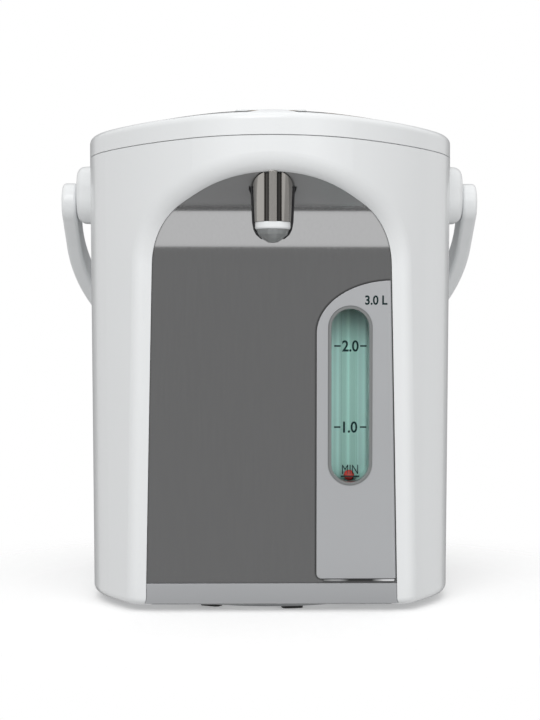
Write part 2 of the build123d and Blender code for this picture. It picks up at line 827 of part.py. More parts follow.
def make_impeller():
    foot, hub = chamber_foot_z + chamber_wall + 0.6, shaft_radius + pin_gap
    plate = vane_thickness
    wheel = ring(impeller_radius, hub, foot, foot + plate, pump_x, pump_y)
    wheel += ring(hub + 2.5, hub, foot, foot + plate + vane_height, pump_x, pump_y)
    length = impeller_radius - hub - 3
    vane_place = Pos(hub + 2 + length / 2, 0, foot + plate + vane_height / 2)
    vane = vane_place * Box(length, vane_thickness, vane_height)
    for index in range(vane_count):
        wheel += Pos(pump_x, pump_y, 0) * (Rot(0, 0, 360 / vane_count * index) * vane)
    return wheel


def make_pump_motor():
    """The motor's can, with the fixed spindle of its rotor."""
    can = post(motor_radius, motor_foot_z, chamber_foot_z, pump_x, pump_y)
    can -= post(motor_radius - motor_wall, motor_foot_z + motor_wall / 2, chamber_foot_z - motor_wall / 2,
                pump_x, pump_y)
    return can + post(shaft_radius, motor_foot_z + 1, motor_foot_z + 3 * motor_wall, pump_x, pump_y)


def make_motor_rotor():
    rotor_head_z = chamber_foot_z - motor_wall / 2 - 0.6
    bore_head_z = motor_foot_z + 3 * motor_wall + 0.4
    rotor = post(motor_radius - motor_wall - 1, motor_foot_z + motor_wall, rotor_head_z, pump_x, pump_y)
    return rotor - post(shaft_radius + pin_gap, motor_foot_z, bore_head_z, pump_x, pump_y)


def make_pump_inlet_hose():
    return ring(stub_radius + hose_wall, stub_radius + pin_gap, chamber_head_z + 0.4,
                container_foot_z - 2, pump_x, pump_y)


def make_pump_outlet_hose():
    corner = tube_point(pump_stub_z)
    start_y = pump_y - impeller_radius / 2 - stub_run + stub_length
    points = [(pump_stub_x, start_y, pump_stub_z), (pump_stub_x, corner.Y + 16, pump_stub_z), tuple(corner),
              tuple(tube_point(tube_foot + stub_length - 0.4))]
    return hose(points, 8, stub_radius + hose_wall, stub_radius + pin_gap)


# ================================================================ top frame
def lid_outline(inset=0.0, rear_gap=0.0):
    """The lid's outline; a negative inset gives the opening round it."""
    grown = inset + lid_corner
    circle_y = lid_front_y + lid_front_radius
    outline = plan(lid_margin + grown) & (Pos(0, circle_y) * Circle(lid_front_radius - grown))
    rear = lid_rear_y - grown + rear_gap
    outline &= Pos(0, rear - cutter_reach / 2) * Rectangle(cutter_reach, cutter_reach)
    return offset(outline, lid_corner)


def fascia_outline(inset=0.0):
    """The control fascia: a crescent in front of the lid."""
    grown = inset + fascia_corner
    circle_y = lid_front_y + lid_front_radius
    outline = plan(fascia_margin + grown)
    outline -= Pos(0, circle_y) * Circle(lid_front_radius + fascia_gap + grown)
    outline &= Pos(0, lid_front_y + half_width / 2 - cutter_reach / 2) * Rectangle(
        2 * (fascia_half_width - grown), cutter_reach)
    return offset(outline, fascia_corner)


def hinge_pocket(grow=0.0):
    """The space behind the lid where its hinge lies."""
    return block(-hinge_half_length - grow, hinge_half_length + grow, lid_rear_y - 4,
                 hinge_y + barrel_radius + 1.2 + grow, hinge_z - barrel_radius - 2.5 - grow, top_z + 5)


def board_posts():
    """Posts of the top frame that the control board hangs from."""
    return [(side * x, lid_front_y - set_forward) for side in (1, -1)
            for x, set_forward in ((26.0, 56.0), (52.0, 12.0))]


def front_lip():
    """A low hump of the rim before the large key."""
    radius = (lip_half_width ** 2 + lip_height ** 2) / (2 * lip_height)
    hump = Plane.XZ * (Pos(0, rim_z + lip_height - radius) * Circle(radius))
    band = upright(plan(roof_start / 2) - plan(fascia_margin - fit_gap), rim_z - 1, top_z)
    return band & extrude(hump, amount=cutter_reach / 2)


def make_top_frame():
    shell = roof_block(0)
    rim_edges = [edge for edge in shell.edges()
                 if abs((edge @ 0.5).Z - rim_z) < 0.01 and abs(edge_inset(edge)) < 0.1]
    shell = fillet(rim_edges, rim_round) + front_lip()
    outer = shell
    shell -= roof_block(casing_wall, casing_wall)
    skirt = upright(plan(casing_wall + fit_gap) - plan(2 * casing_wall), seam_z - skirt_depth, seam_z + 3)
    skirt += upright(plan(casing_wall / 2) - plan(2 * casing_wall), seam_z + seam_gap, seam_z + 3)
    shell += skirt - recess_block(pocket_depth + front_wall + fit_gap)
    shell += roof_slab(fascia_outline(-2), fascia_thickness, fascia_thickness + shelf_thickness)
    shell -= roof_slab(fascia_outline(-fit_gap), -5, fascia_thickness)
    well = upright(lid_outline(-lid_gap - well_wall, lid_rear_gap - lid_gap), flange_z, top_z)
    shell += well & (outer + upright(plan(lid_margin / 2), flange_z, seam_z + 5))
    shell += hinge_pocket(2) & outer
    shell -= upright(lid_outline(-lid_gap, lid_rear_gap - lid_gap), flange_z + well_wall, top_z + 5)
    shell -= hinge_pocket()
    shell -= post(well_hole_radius, flange_z - 1, flange_z + 5)
    for side in (1, -1):
        boss = block(side * hinge_half_length - 4, side * hinge_half_length + 4, hinge_y - barrel_radius,
                     hinge_y + barrel_radius, hinge_z - 5, hinge_z + barrel_radius)
        shell += boss & outer
    shell -= cross_bar(hinge_pin_radius + pin_gap, hinge_half_length + 2, hinge_y, hinge_z)
    shell -= block(-latch_half_width - 1, latch_half_width + 1, lid_front_y - latch_reach - fit_gap,
                   lid_front_y + lid_gap, latch_foot_z - 1, top_z + 5)
    for x, y in board_posts():
        shell += post(3, board_z + board_thickness, top_z, x, y) & roof_block(fascia_thickness + 1)
    for outline in button_outlines().values():
        shell -= upright(outline, board_z, top_z + 5)
    shell -= upright(lcd_outline(fit_gap), board_z, top_z + 5)
    for x, y in lens_places():
        shell -= post(lens_radius + 2 * fit_gap, board_z, top_z + 5, x, y)
    return shell


def edge_inset(edge):
    """How far an edge of the top lies inside the oval plan."""
    point = edge @ 0.5
    x, y = abs(point.X), point.Y
    if y > rear_centre_y:
        return half_width - hypot(x, y - rear_centre_y)
    if y > shoulder_centre[1]:
        return half_width - x
    angle = degrees(atan2(x, nose_centre[1] - y)) if y < nose_centre[1] else 90
    if angle < nose_angle:
        return nose_radius - hypot(x - nose_centre[0], y - nose_centre[1])
    reach = hypot(x - shoulder_centre[0], y - shoulder_centre[1])
    flank = hypot(x - flank_centre[0], y - flank_centre[1])
    return min(abs(shoulder_radius - reach), abs(flank_radius - flank))


# ================================================================ controls
def key_outline(size, gap):
    """A long key's outline, grown by gap."""
    return RectangleRounded(size[0] + 2 * gap, size[1] + 2 * gap, size[1] / 3)


def button_outlines(gap=button_gap):
    """Each button's opening in the fascia; gap 0 gives the button itself."""
    round_y, small_y = lid_front_y - round_key_set, lid_front_y - small_key_set
    return {
        "dispense_button": Pos(0, lid_front_y - large_key_set) * key_outline(large_key, gap),
        "unlock_button": Pos(-round_key_x, round_y) * Circle(round_key_radius + gap),
        "reboil_button": Pos(round_key_x, round_y) * Circle(round_key_radius + gap),
        "temperature_button": Pos(small_key_x[0], small_y) * key_outline(small_key, gap),
        "timer_button": Pos(small_key_x[1], small_y) * key_outline(small_key, gap),
    }


def button_centre(name):
    return button_outlines()[name].center()


def lcd_outline(gap=0.0):
    width, depth = lcd_size
    place = Pos(lcd_x, lid_front_y - lcd_set)
    return place * RectangleRounded(width + 2 * gap, depth + 2 * gap, 2)


def lens_places():
    return [(index * lens_pitch, lid_front_y - lens_set) for index in (-1, 0, 1)]


def make_fascia():
    fascia = roof_slab(fascia_outline(), 0, fascia_thickness)
    for outline in button_outlines().values():
        fascia -= upright(outline, board_z, top_z + 5)
    fascia -= upright(lcd_outline(0.1), board_z, top_z + 5)
    for x, y in lens_places():
        fascia -= post(lens_radius + 0.1, board_z, top_z + 5, x, y)
    return fascia


def make_button(name):
    """A key: its cap, the ledge that holds it in and the stem to its switch."""
    shelf = fascia_thickness + shelf_thickness
    cap = roof_slab(button_outlines(0)[name], -button_proud, shelf + 2 * fit_gap)
    cap += roof_slab(button_outlines(1)[name], shelf + fit_gap, shelf + fit_gap + 1.2)
    centre = button_centre(name)
    low = board_z + board_thickness + switch_height + button_travel + fit_gap
    stem = post(stem_radius, low, top_z, centre.X, centre.Y) & roof_block(shelf)
    return cap + stem


def make_lcd_window():
    return roof_slab(lcd_outline(), 0.1, fascia_thickness - fit_gap)


def make_lcd_module():
    column = upright(lcd_outline(-1), board_z + board_thickness, top_z)
    return column & roof_block(fascia_thickness - 0.2)


def make_lenses():
    lenses = [post(lens_radius, board_z + board_thickness, top_z, x, y) & roof_block(0.1)
              for x, y in lens_places()]
    return lenses[0] + lenses[1:]


def make_control_board():
    rear, front = lid_front_y - 8, lid_front_y - 68
    outline = plan(fascia_margin) & (Pos(0, (rear + front) / 2) * Rectangle(124, rear - front))
    board = upright(outline, board_z, board_z + board_thickness)
    for name in button_outlines():
        centre = button_centre(name)
        switch = Pos(centre.X, centre.Y) * Rectangle(switch_width, switch_width)
        board += upright(switch, board_z, board_z + board_thickness + switch_height)
    return board


# ================================================================ lid
def lever_pocket():
    """The room in the lid round and under the lever."""
    half = lever_half_width + 0.5
    return block(-half, half, lid_front_y - 5, lever_rear_y + lever_pin_depth, lever_floor_z, top_z + 20)


def lever_lugs():
    """The lid's two lugs that hold the lever's pin, rounded about its axis."""
    lugs = block(-lever_half_width, lever_half_width, lever_rear_y - lever_lug_radius,
                 lever_rear_y + lever_lug_radius, lever_floor_z - 1, lever_pin_z)
    lugs += cross_bar(lever_lug_radius, lever_half_width, lever_rear_y, lever_pin_z)
    outer_x = lever_half_width - lever_lug_set + lever_lug_width / 2
    inner_x = outer_x - lever_lug_width
    both = [block(min(side * inner_x, side * outer_x), max(side * inner_x, side * outer_x),
                  lever_rear_y - 10, lever_rear_y + 10, 0, top_z + 10) for side in (1, -1)]
    return lugs & (both[0] + both[1])


def make_lid_cover():
    column = upright(lid_outline(), lid_skirt_z, top_z + 5)
    cover = column & roof_block(0)
    cover -= upright(lid_outline(lid_wall), lid_skirt_z - 1, top_z + 5) & roof_block(lid_wall)
    pan = block(-lever_half_width - lid_wall, lever_half_width + lid_wall, lid_front_y - 5,
                lever_rear_y + lever_pin_depth + lid_wall, lever_floor_z - lid_wall, top_z)
    cover += pan & column & roof_block(0)
    cover -= lever_pocket()
    cover += lever_lugs()
    cover -= cross_bar(lever_pin_radius + pin_gap, lever_half_width - 3, lever_rear_y, lever_pin_z)
    cover -= block(-latch_half_width - fit_gap, latch_half_width + fit_gap, lid_front_y - 3, lid_front_y + 5,
                   latch_foot_z - fit_gap, latch_foot_z + latch_thickness + fit_gap)
    cover -= block(-2.5, 2.5, lever_front_y + 8, lever_rear_y - 6, lid_skirt_z, top_z)
    cover -= post(vent_radius + fit_gap, lid_skirt_z, top_z + 5, 0, vent_y)
    for side in (1, -1):
        arm_low = side * lug_centre_x - lug_length / 2
        barrel = cross_bar(barrel_radius, lug_length / 2, hinge_y, hinge_z)
        cover += Pos(side * lug_centre_x, 0, 0) * barrel
        cover += (block(arm_low, arm_low + lug_length, lid_rear_y - 3, hinge_y, hinge_z - 3, hinge_z + 3.6)
                  & roof_block(0))
    return cover - cross_bar(hinge_pin_radius + pin_gap, hinge_half_length, hinge_y, hinge_z)


def make_lid_base():
    """The lid's lower shell: a plate, the plug in the neck and the latch's guide."""
    low, wall = lid_skirt_z - base_plate_thickness, plug_wall
    ledge_z = flange_z + fit_gap + gasket_height
    plate = upright(lid_outline(lid_wall + fit_gap), low, lid_skirt_z)
    cup = turned([(plug_radius + 4, low), (plug_radius + 4, ledge_z + fit_gap),
                  (plug_radius, ledge_z + fit_gap), (plug_radius, flange_z),
                  (plug_foot_radius, plug_foot_z), (0, plug_foot_z),
                  (0, plug_foot_z + plug_floor), (plug_foot_radius - wall, plug_foot_z + plug_floor),
                  (plug_radius - wall, ledge_z + wall), (plug_radius - wall, low)])
    chimney = ring(chimney_radius, chimney_bore, plug_foot_z + 1, top_z - 6, 0, vent_y - 4)
    base = plate - post(plug_radius - wall, low - 1, lid_skirt_z + 1) + cup
    guide = block(-latch_half_width - 2, latch_half_width + 2, lid_front_y + lid_wall + 2,
                  lid_front_y + latch_length + latch_travel, lid_skirt_z - 1, latch_foot_z + 2)
    guide -= block(-latch_half_width - 0.1, latch_half_width + 0.1,
                   lid_front_y, lid_front_y + 2 * latch_length, latch_foot_z - 0.1, top_z)
    return base + guide + chimney - post(chimney_bore, plug_foot_z - 1, top_z, 0, vent_y - 4)


def make_lid_inner_plate():
    """The steel disc that faces the steam."""
    low = plug_foot_z - inner_plate_thickness
    plate = turned([(0, low), (plug_foot_radius - 1, low), (plug_foot_radius - 0.4, plug_foot_z),
                    (0, plug_foot_z)])
    return plate - post(chimney_bore, low - 1, plug_foot_z + 1, 0, vent_y - 4)


def make_lid_gasket():
    low, high = flange_z + fit_gap, flange_z + fit_gap + gasket_height
    inner = plug_radius + pin_gap
    return turned([(inner, low), (gasket_radius - 1, low), (gasket_radius, low + 1),
                   (gasket_radius, high - 1), (gasket_radius - 1, high), (inner, high)])


def make_steam_vent():
    """A round cap with five slots, lying over the chimney."""
    cap = post(vent_radius, top_z - 6, top_z + vent_proud, 0, vent_y)
    cap -= post(vent_radius - 2, top_z - 7, top_z - 1.4, 0, vent_y)
    cap = fillet(cap.edges().sort_by(Axis.Z)[-1], 0.8)
    for index in range(-2, 3):
        cap -= Pos(index * 4.0, vent_y, top_z) * Box(1.6, vent_radius * 1.15 - abs(index) * 3, 6)
    return cap


def make_lid_lever():
    """The plate that is lifted at its front to open the lid."""
    top, low = lever_top_z, lever_top_z - lever_thickness
    plate = block(-lever_half_width, lever_half_width, lever_front_y, lever_rear_y + 2, low, top)
    plate = fillet(plate.edges().filter_by(Axis.Z), 4)
    plate = fillet(plate.edges().group_by(Axis.Z)[-1], 1)
    plate -= block(-lever_half_width + 2, lever_half_width - 2, lever_rear_y - lever_pin_depth,
                   lever_rear_y + 5, low - 1, top - lever_skin)
    hub_half = lever_half_width - lever_lug_set - lever_lug_width / 2 - fit_gap
    hub = cross_bar(lever_lug_radius, hub_half, lever_rear_y, lever_pin_z)
    hub += block(-hub_half, hub_half, lever_rear_y - 6, lever_rear_y + 1.5, lever_pin_z, top - 0.6)
    hub += block(-2, 2, finger_y, finger_y + 3, latch_foot_z + latch_thickness - 1, top - 1)
    return plate + hub - cross_bar(lever_pin_radius + pin_gap, lever_half_width, lever_rear_y, lever_pin_z)


def make_lever_pin():
    return cross_bar(lever_pin_radius, lever_half_width - 3.5, lever_rear_y, lever_pin_z)


def make_hinge_pin():
    return cross_bar(hinge_pin_radius, hinge_half_length + 1.5, hinge_y, hinge_z)


def make_latch():
    """The sliding bolt; the lever's finger stands in its window."""
    low = latch_foot_z
    bar = block(-latch_half_width, latch_half_width, lid_front_y - latch_reach, lid_front_y + latch_length,
                low, low + latch_thickness)
    tongue = bar.edges().filter_by(Axis.X).sort_by(Axis.Y)[:2]
    bar = chamfer(tongue.sort_by(Axis.Z)[0], 1.5)
    return bar - block(-3, 3, finger_y - 1.7, finger_y + 3.3, low - 1, low + latch_thickness + 1)


# ================================================================ handle
def rounded_rectangle(depth, height, radius, x, z, side):
    plane = Plane(origin=(side * x, axis_y, z), x_dir=(0, 1, 0), z_dir=(side, 0, 0))
    return plane * RectangleRounded(depth, height, radius)


def make_ear(side):
    ear = loft([rounded_rectangle(ear_base_depth, ear_height + 1, ear_depth / 2 - 3,
                                  half_width - 14, ear_centre_z, side),
                rounded_rectangle(ear_depth, ear_height - 1, ear_depth / 2 - 3,
                                  ear_face_x, ear_centre_z, side)])
    outer = ear.faces().sort_by(Axis.X)[-1 if side > 0 else 0]
    ear = fillet(outer.edges(), ear_round)
    ear -= casing_block(0, casing_foot_z, seam_z + rim_height)
    start = Plane(origin=(side * (ear_face_x - 3), axis_y, pivot_z), z_dir=(side, 0, 0))
    return ear + extrude(start * Circle(pivot_radius), amount=3 + pivot_length)


def handle_plane(out=0.0):
    """The bail's own plane at rest: local x is +X, local y runs down the arms."""
    return Plane(origin=(0, axis_y + out * sind(handle_rest), pivot_z + out * cosd(handle_rest)),
                 x_dir=(1, 0, 0), z_dir=(0, sind(handle_rest), cosd(handle_rest)))


def bail_outline(inset):
    """The bail seen square on, moved inwards by inset."""
    reach = ear_face_x + handle_gap + handle_thickness - inset
    return make_face([
        Line((-reach, -2 * eye_radius), (reach, -2 * eye_radius)),
        Line((reach, -2 * eye_radius), (reach, handle_straight)),
        EllipticalCenterArc((0, handle_straight), reach, handle_bow - inset, 0, arc_size=180),
        Line((-reach, handle_straight), (-reach, -2 * eye_radius))])


def make_handle():
    band = bail_outline(0) - bail_outline(handle_thickness)
    bail = extrude(handle_plane(-eye_radius * 1.2) * band, amount=2.4 * eye_radius)
    tip = handle_straight + handle_bow + 5
    arm = Polyline((0, -eye_radius + 0.2), (handle_straight, -grip_half_width - 1.5),
                   (tip, -grip_half_width), (tip, grip_half_width),
                   (handle_straight, grip_half_width + 1.5), (0, eye_radius - 0.2), close=True)
    profile = Circle(eye_radius) + make_face(arm)
    side_plane = Plane(origin=(0, axis_y, pivot_z), x_dir=handle_plane().y_dir, z_dir=(1, 0, 0))
    bail &= extrude(side_plane * profile, amount=cutter_reach / 2, both=True)
    bail = fillet(bail.edges(), handle_round)
    bar = extrude(Plane(origin=(0, axis_y, pivot_z), z_dir=(1, 0, 0)) * Circle(pivot_radius + pin_gap),
                  amount=ear_face_x + handle_gap + pivot_length, both=True)
    return bail - bar


# ================================================================ base
def make_base_plate():
    """The pot's floor, with the posts of the heat shield and the board's rail."""
    plate = casing_block(casing_wall + fit_gap, plate_foot_z, plate_head_z)
    plate -= recess_block(pocket_depth + front_wall + fit_gap)
    plate -= post(disc_radius + 1, plate_foot_z - 1, plate_floor_z)
    plate -= post(hub_radius + pin_gap, 0, plate_head_z + 1)
    for x, y, side in boss_places():
        plate -= post(screw_radius + fit_gap, 0, plate_head_z + 1, x, y)
        plate -= post(screw_head + fit_gap, 0, plate_foot_z + 2.6, x, y)
    for turn in (shield_post_angle, 180 - shield_post_angle, 180 + shield_post_angle, -shield_post_angle):
        plate += post(shield_post_radius, plate_head_z - 1, shield_z,
                      shield_post_circle * cosd(turn), axis_y + shield_post_circle * sind(turn))
    half = power_board_half_width
    rail = block(-half - 2, half + 2, board_y - 2.2, board_y + board_thickness + 2.2, plate_head_z - 1,
                 plate_head_z + rail_height)
    rail -= block(-half - 1, half + 1, board_y - 0.1, board_y + board_thickness + 0.1, plate_head_z + 1,
                  plate_head_z + rail_height + 1)
    return plate + rail


def make_swivel_disc():
    """The round foot that stays still: a rim, a bearing ring and a hub."""
    disc = post(disc_radius, disc_foot_z, disc_head_z)
    disc -= post(disc_radius - disc_rim_width, disc_foot_z - 1, disc_foot_z + 2)
    disc += ring(bearing_radius, bearing_radius - bearing_width, disc_head_z, plate_floor_z)
    return disc + post(hub_radius, disc_head_z - 1, plate_head_z + 1.9)


def make_foot_pads():
    pads = []
    for index in range(pad_count):
        turn = pad_phase - 90 + 360 / pad_count * index
        pad = Rot(0, 0, turn) * (Pos(pad_circle, 0) * RectangleRounded(pad_width, pad_length, 2.5))
        pads.append(upright(Pos(0, axis_y) * pad, 0, disc_foot_z))
    return pads[0] + pads[1:]


def make_swivel_washer():
    """The retaining washer over the hub, with its collar."""
    washer = ring(hub_radius + 5, screw_radius + 0.4, plate_head_z + 1.9, plate_head_z + 3.5)
    return washer + ring(hub_radius + 5, hub_radius + fit_gap, plate_head_z + fit_gap, plate_head_z + 2)


def make_base_screws():
    screws = []
    for x, y, side in boss_places():
        screw = post(screw_head, plate_foot_z + 0.2, plate_foot_z + 2.6, x, y)
        screws.append(screw + post(screw_radius, plate_foot_z + 1, boss_head_z - 4, x, y))
    return screws[0] + screws[1:]


# ================================================================ power
def make_power_board():
    """The power board with its transformer, relay and three capacitors."""
    face_y, low = board_y, plate_head_z + 1.2
    board = block(-power_board_half_width, power_board_half_width, board_y, board_y + board_thickness,
                  low, low + power_board_height)
    board += block(-26, 4, face_y - 7, face_y, low + 59, low + 85)
    board += block(10, 26, face_y - 6, face_y, low + 63, low + 81)
    for x in (-18, 0, 18):
        cap = Plane(origin=(x, face_y, low + 107), z_dir=(0, -1, 0))
        board += extrude(cap * Circle(6), amount=7)
    return board


def make_power_socket():
    socket = rear_column(socket_outline(), rear_y - socket_depth, rear_y)
    socket &= casing_block(0, casing_foot_z, seam_z)
    return socket - rear_column(socket_outline(-socket_lip), rear_y - socket_recess, rear_y + 5)


def make_socket_contacts():
    """Two contact pins and the two plates that hold the plug by magnetism."""
    floor_y = rear_y - socket_recess
    pieces = []
    for x in (-9, 9):
        plane = Plane(origin=(x, floor_y, socket_z), z_dir=(0, 1, 0))
        pieces.append(extrude(plane * Circle(1.8), amount=4))
    for x in (-15.5, 15.5):
        pieces.append(block(x - 2.5, x + 2.5, floor_y, floor_y + 1, socket_z - 6, socket_z + 6))
    return pieces[0] + pieces[1:]


# ================================================================ all nodes
def handle_reach():
    """How far behind the casing's middle the resting handle reaches."""
    tip = handle_straight + handle_bow - handle_round
    corner = grip_half_width - handle_round
    return axis_y + tip * cosd(handle_rest) + corner * sind(handle_rest) + handle_round


def to_origin():
    """Moves a piece from the casing's middle to the overall origin."""
    return Pos(0, -(handle_reach() + nose_y) / 2, 0)


def main():
    os.makedirs("parts", exist_ok=True)
    nodes = {
        "outer_casing": make_outer_casing(),
        "front_liner": make_front_liner(),
        "recess_panel": make_recess_panel(),
        "base_strip": make_base_strip(),
        "gauge_plate": make_gauge_plate(),
        "gauge_bezel": make_gauge_bezel(),
        "gauge_pane": make_gauge_pane(),
        "gauge_trough": make_gauge_trough(),
        "gauge_tube": make_gauge_tube(),
        "float_ball": make_float_ball(),
        "spout_housing": make_spout_housing(),
        "spout_cover": make_spout_cover(),
        "nozzle_ring": make_nozzle_ring(),
        "nozzle_tip": make_nozzle_tip(),
        "outlet_elbow": make_outlet_elbow(),
        "riser_hose": make_riser_hose(),
        "container_body": make_container_body(),
        "container_neck": make_container_neck(),
        "insulation_sleeve": make_insulation(),
        "heater": make_heater(),
        "thermostat": make_thermostat(),
        "thermal_fuse": make_thermal_fuse(),
        "heat_shield": make_heat_shield(),
        "pump_housing": make_pump_housing(),
        "pump_impeller": make_impeller(),
        "pump_motor": make_pump_motor(),
        "motor_rotor": make_motor_rotor(),
        "pump_inlet_hose": make_pump_inlet_hose(),
        "pump_outlet_hose": make_pump_outlet_hose(),
        "top_frame": make_top_frame(),
        "control_fascia": make_fascia(),
        "lcd_window": make_lcd_window(),
        "lcd_module": make_lcd_module(),
        "indicator_lenses": make_lenses(),
        "control_board": make_control_board(),
        "lid_cover": make_lid_cover(),
        "lid_base": make_lid_base(),
        "lid_inner_plate": make_lid_inner_plate(),
        "lid_gasket": make_lid_gasket(),
        "steam_vent_cap": make_steam_vent(),
        "lid_lever": make_lid_lever(),
        "lever_pin": make_lever_pin(),
        "lid_latch": make_latch(),
        "lid_hinge_pin": make_hinge_pin(),
        "ear_right": make_ear(1),
        "ear_left": make_ear(-1),
        "handle": make_handle(),
        "base_plate": make_base_plate(),
        "swivel_disc": make_swivel_disc(),
        "foot_pads": make_foot_pads(),
        "swivel_washer": make_swivel_washer(),
        "base_screws": make_base_screws(),
        "power_board": make_power_board(),
        "power_socket": make_power_socket(),
        "socket_contacts": make_socket_contacts(),
    }
    for name in button_outlines():
        nodes[name] = make_button(name)
    for name, shape in nodes.items():
        export_step(to_origin() * shape, f"parts/{name}.step")


if __name__ == "__main__":
    main()
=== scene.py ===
import bmesh
import bpy
import json
import math
from bpy.props import FloatProperty, FloatVectorProperty, PointerProperty
from mathutils import Matrix, Vector


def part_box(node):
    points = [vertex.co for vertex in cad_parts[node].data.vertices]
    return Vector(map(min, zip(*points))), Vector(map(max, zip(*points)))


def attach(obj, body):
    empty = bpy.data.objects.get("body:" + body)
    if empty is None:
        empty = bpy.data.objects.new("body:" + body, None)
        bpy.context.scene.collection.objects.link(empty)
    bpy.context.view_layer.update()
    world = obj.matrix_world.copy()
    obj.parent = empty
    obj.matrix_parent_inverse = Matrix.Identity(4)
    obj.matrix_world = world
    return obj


bl_info = {
    "name": "Thermo Pot Looks",
    "version": (1, 0, 0),
    "blender": (4, 5, 0),
    "location": "View3D > Sidebar > Thermo Pot",
    "description": "Dresses the packed thermo pot with finishes, printed marks, small details and a studio",
    "category": "Object",
}

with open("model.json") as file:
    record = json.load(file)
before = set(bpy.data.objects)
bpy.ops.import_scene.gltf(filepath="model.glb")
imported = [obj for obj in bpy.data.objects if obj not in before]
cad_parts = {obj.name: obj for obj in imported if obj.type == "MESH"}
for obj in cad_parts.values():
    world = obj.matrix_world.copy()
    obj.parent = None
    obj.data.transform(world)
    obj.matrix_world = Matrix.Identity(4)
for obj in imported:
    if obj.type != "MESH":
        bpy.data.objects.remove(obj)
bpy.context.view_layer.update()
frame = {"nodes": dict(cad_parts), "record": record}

MM = 0.001
QUARTER_TURN = math.radians(90)
FRONT_LEAN = math.radians(2.2)          # the gauge and its plate lean back

# surface grain
DRIFT_SCALE = 16.0                      # slow waves a metre
GRAIN_HEIGHT = 0.03 * MM
LINE_HEIGHT = 0.02 * MM
LINE_SHADE, LINE_GLOSS = 0.06, 0.08     # how far a drawn line shifts colour and gloss

# lettering
DIGIT_SHARE = 0.72                      # height of a digit in the type's own size
HALF_NUMBER_SHARE = 0.74                # half a number's width, in heights
UNDERLINE_SHARE = 1.7                   # the underline's length, in heights

# studio, in metres
AIM = (0, 0, 0.16)
KEY_PLACE, KEY_SIZE = (-0.6, -2.4, 1.7), (2.0, 1.6)
FILL_PLACE, FILL_SIZE = (1.1, -2.2, 0.9), (1.4, 1.6)
TOP_PLACE, TOP_SIZE = (0, 0.1, 2.0), (1.8, 1.8)
FRONT_CARD = (0, -2.6, 0.45, 1.3, 1.5)  # place, half width and half height
BACK_CARD = (0, 1.5, 0.2, 1.2, 1.2)
SIDE_CARD_PLACE, SIDE_CARD_HALVES = (1.5, 0, 0.3), (0.9, 0.6)
FOOT_CARD_HALF_WIDTH = 0.12
NOSE_GAP = 18 * MM                      # from the casing's nose back to the foot card
FLOOR_FADE = (0.08, 0.2)                # where the floor begins and ends to fade, as shares of its radius


# ------------------------------------------------------------------ settings
class PotFinish(bpy.types.PropertyGroup):
    """Colours and surface values of the pot's materials"""

    shell_colour: FloatVectorProperty(
        name="Shell colour", description="Moulded white of casing, lid and handle",
        subtype="COLOR", size=3, min=0, max=1, default=(0.84, 0.855, 0.862))
    shell_roughness: FloatProperty(
        name="Shell roughness", description="Gloss of the moulded white",
        subtype="FACTOR", min=0, max=1, default=0.32)
    sheet_colour: FloatVectorProperty(
        name="Front sheet colour", description="Dark silver of the front panel",
        subtype="COLOR", size=3, min=0, max=1, default=(0.445, 0.447, 0.45))
    sheet_roughness: FloatProperty(
        name="Front sheet roughness", description="Sharpness of the mirror image in the front panel",
        subtype="FACTOR", min=0, max=1, default=0.12)
    ceiling_roughness: FloatProperty(
        name="Ceiling roughness", description="Sharpness of the mirror image in the rolled ceiling",
        subtype="FACTOR", min=0, max=1, default=0.34)
    plate_colour: FloatVectorProperty(
        name="Gauge plate colour", description="Pale silver of the gauge plate and base strip",
        subtype="COLOR", size=3, min=0, max=1, default=(0.53, 0.54, 0.555))
    window_colour: FloatVectorProperty(
        name="Window colour", description="Green behind the water gauge",
        subtype="COLOR", size=3, min=0, max=1, default=(0.465, 0.685, 0.655))
    float_colour: FloatVectorProperty(
        name="Float colour", description="Red of the level float",
        subtype="COLOR", size=3, min=0, max=1, default=(0.62, 0.05, 0.04))
    ink_colour: FloatVectorProperty(
        name="Ink colour", description="Printed scale marks",
        subtype="COLOR", size=3, min=0, max=1, default=(0.012, 0.03, 0.03))


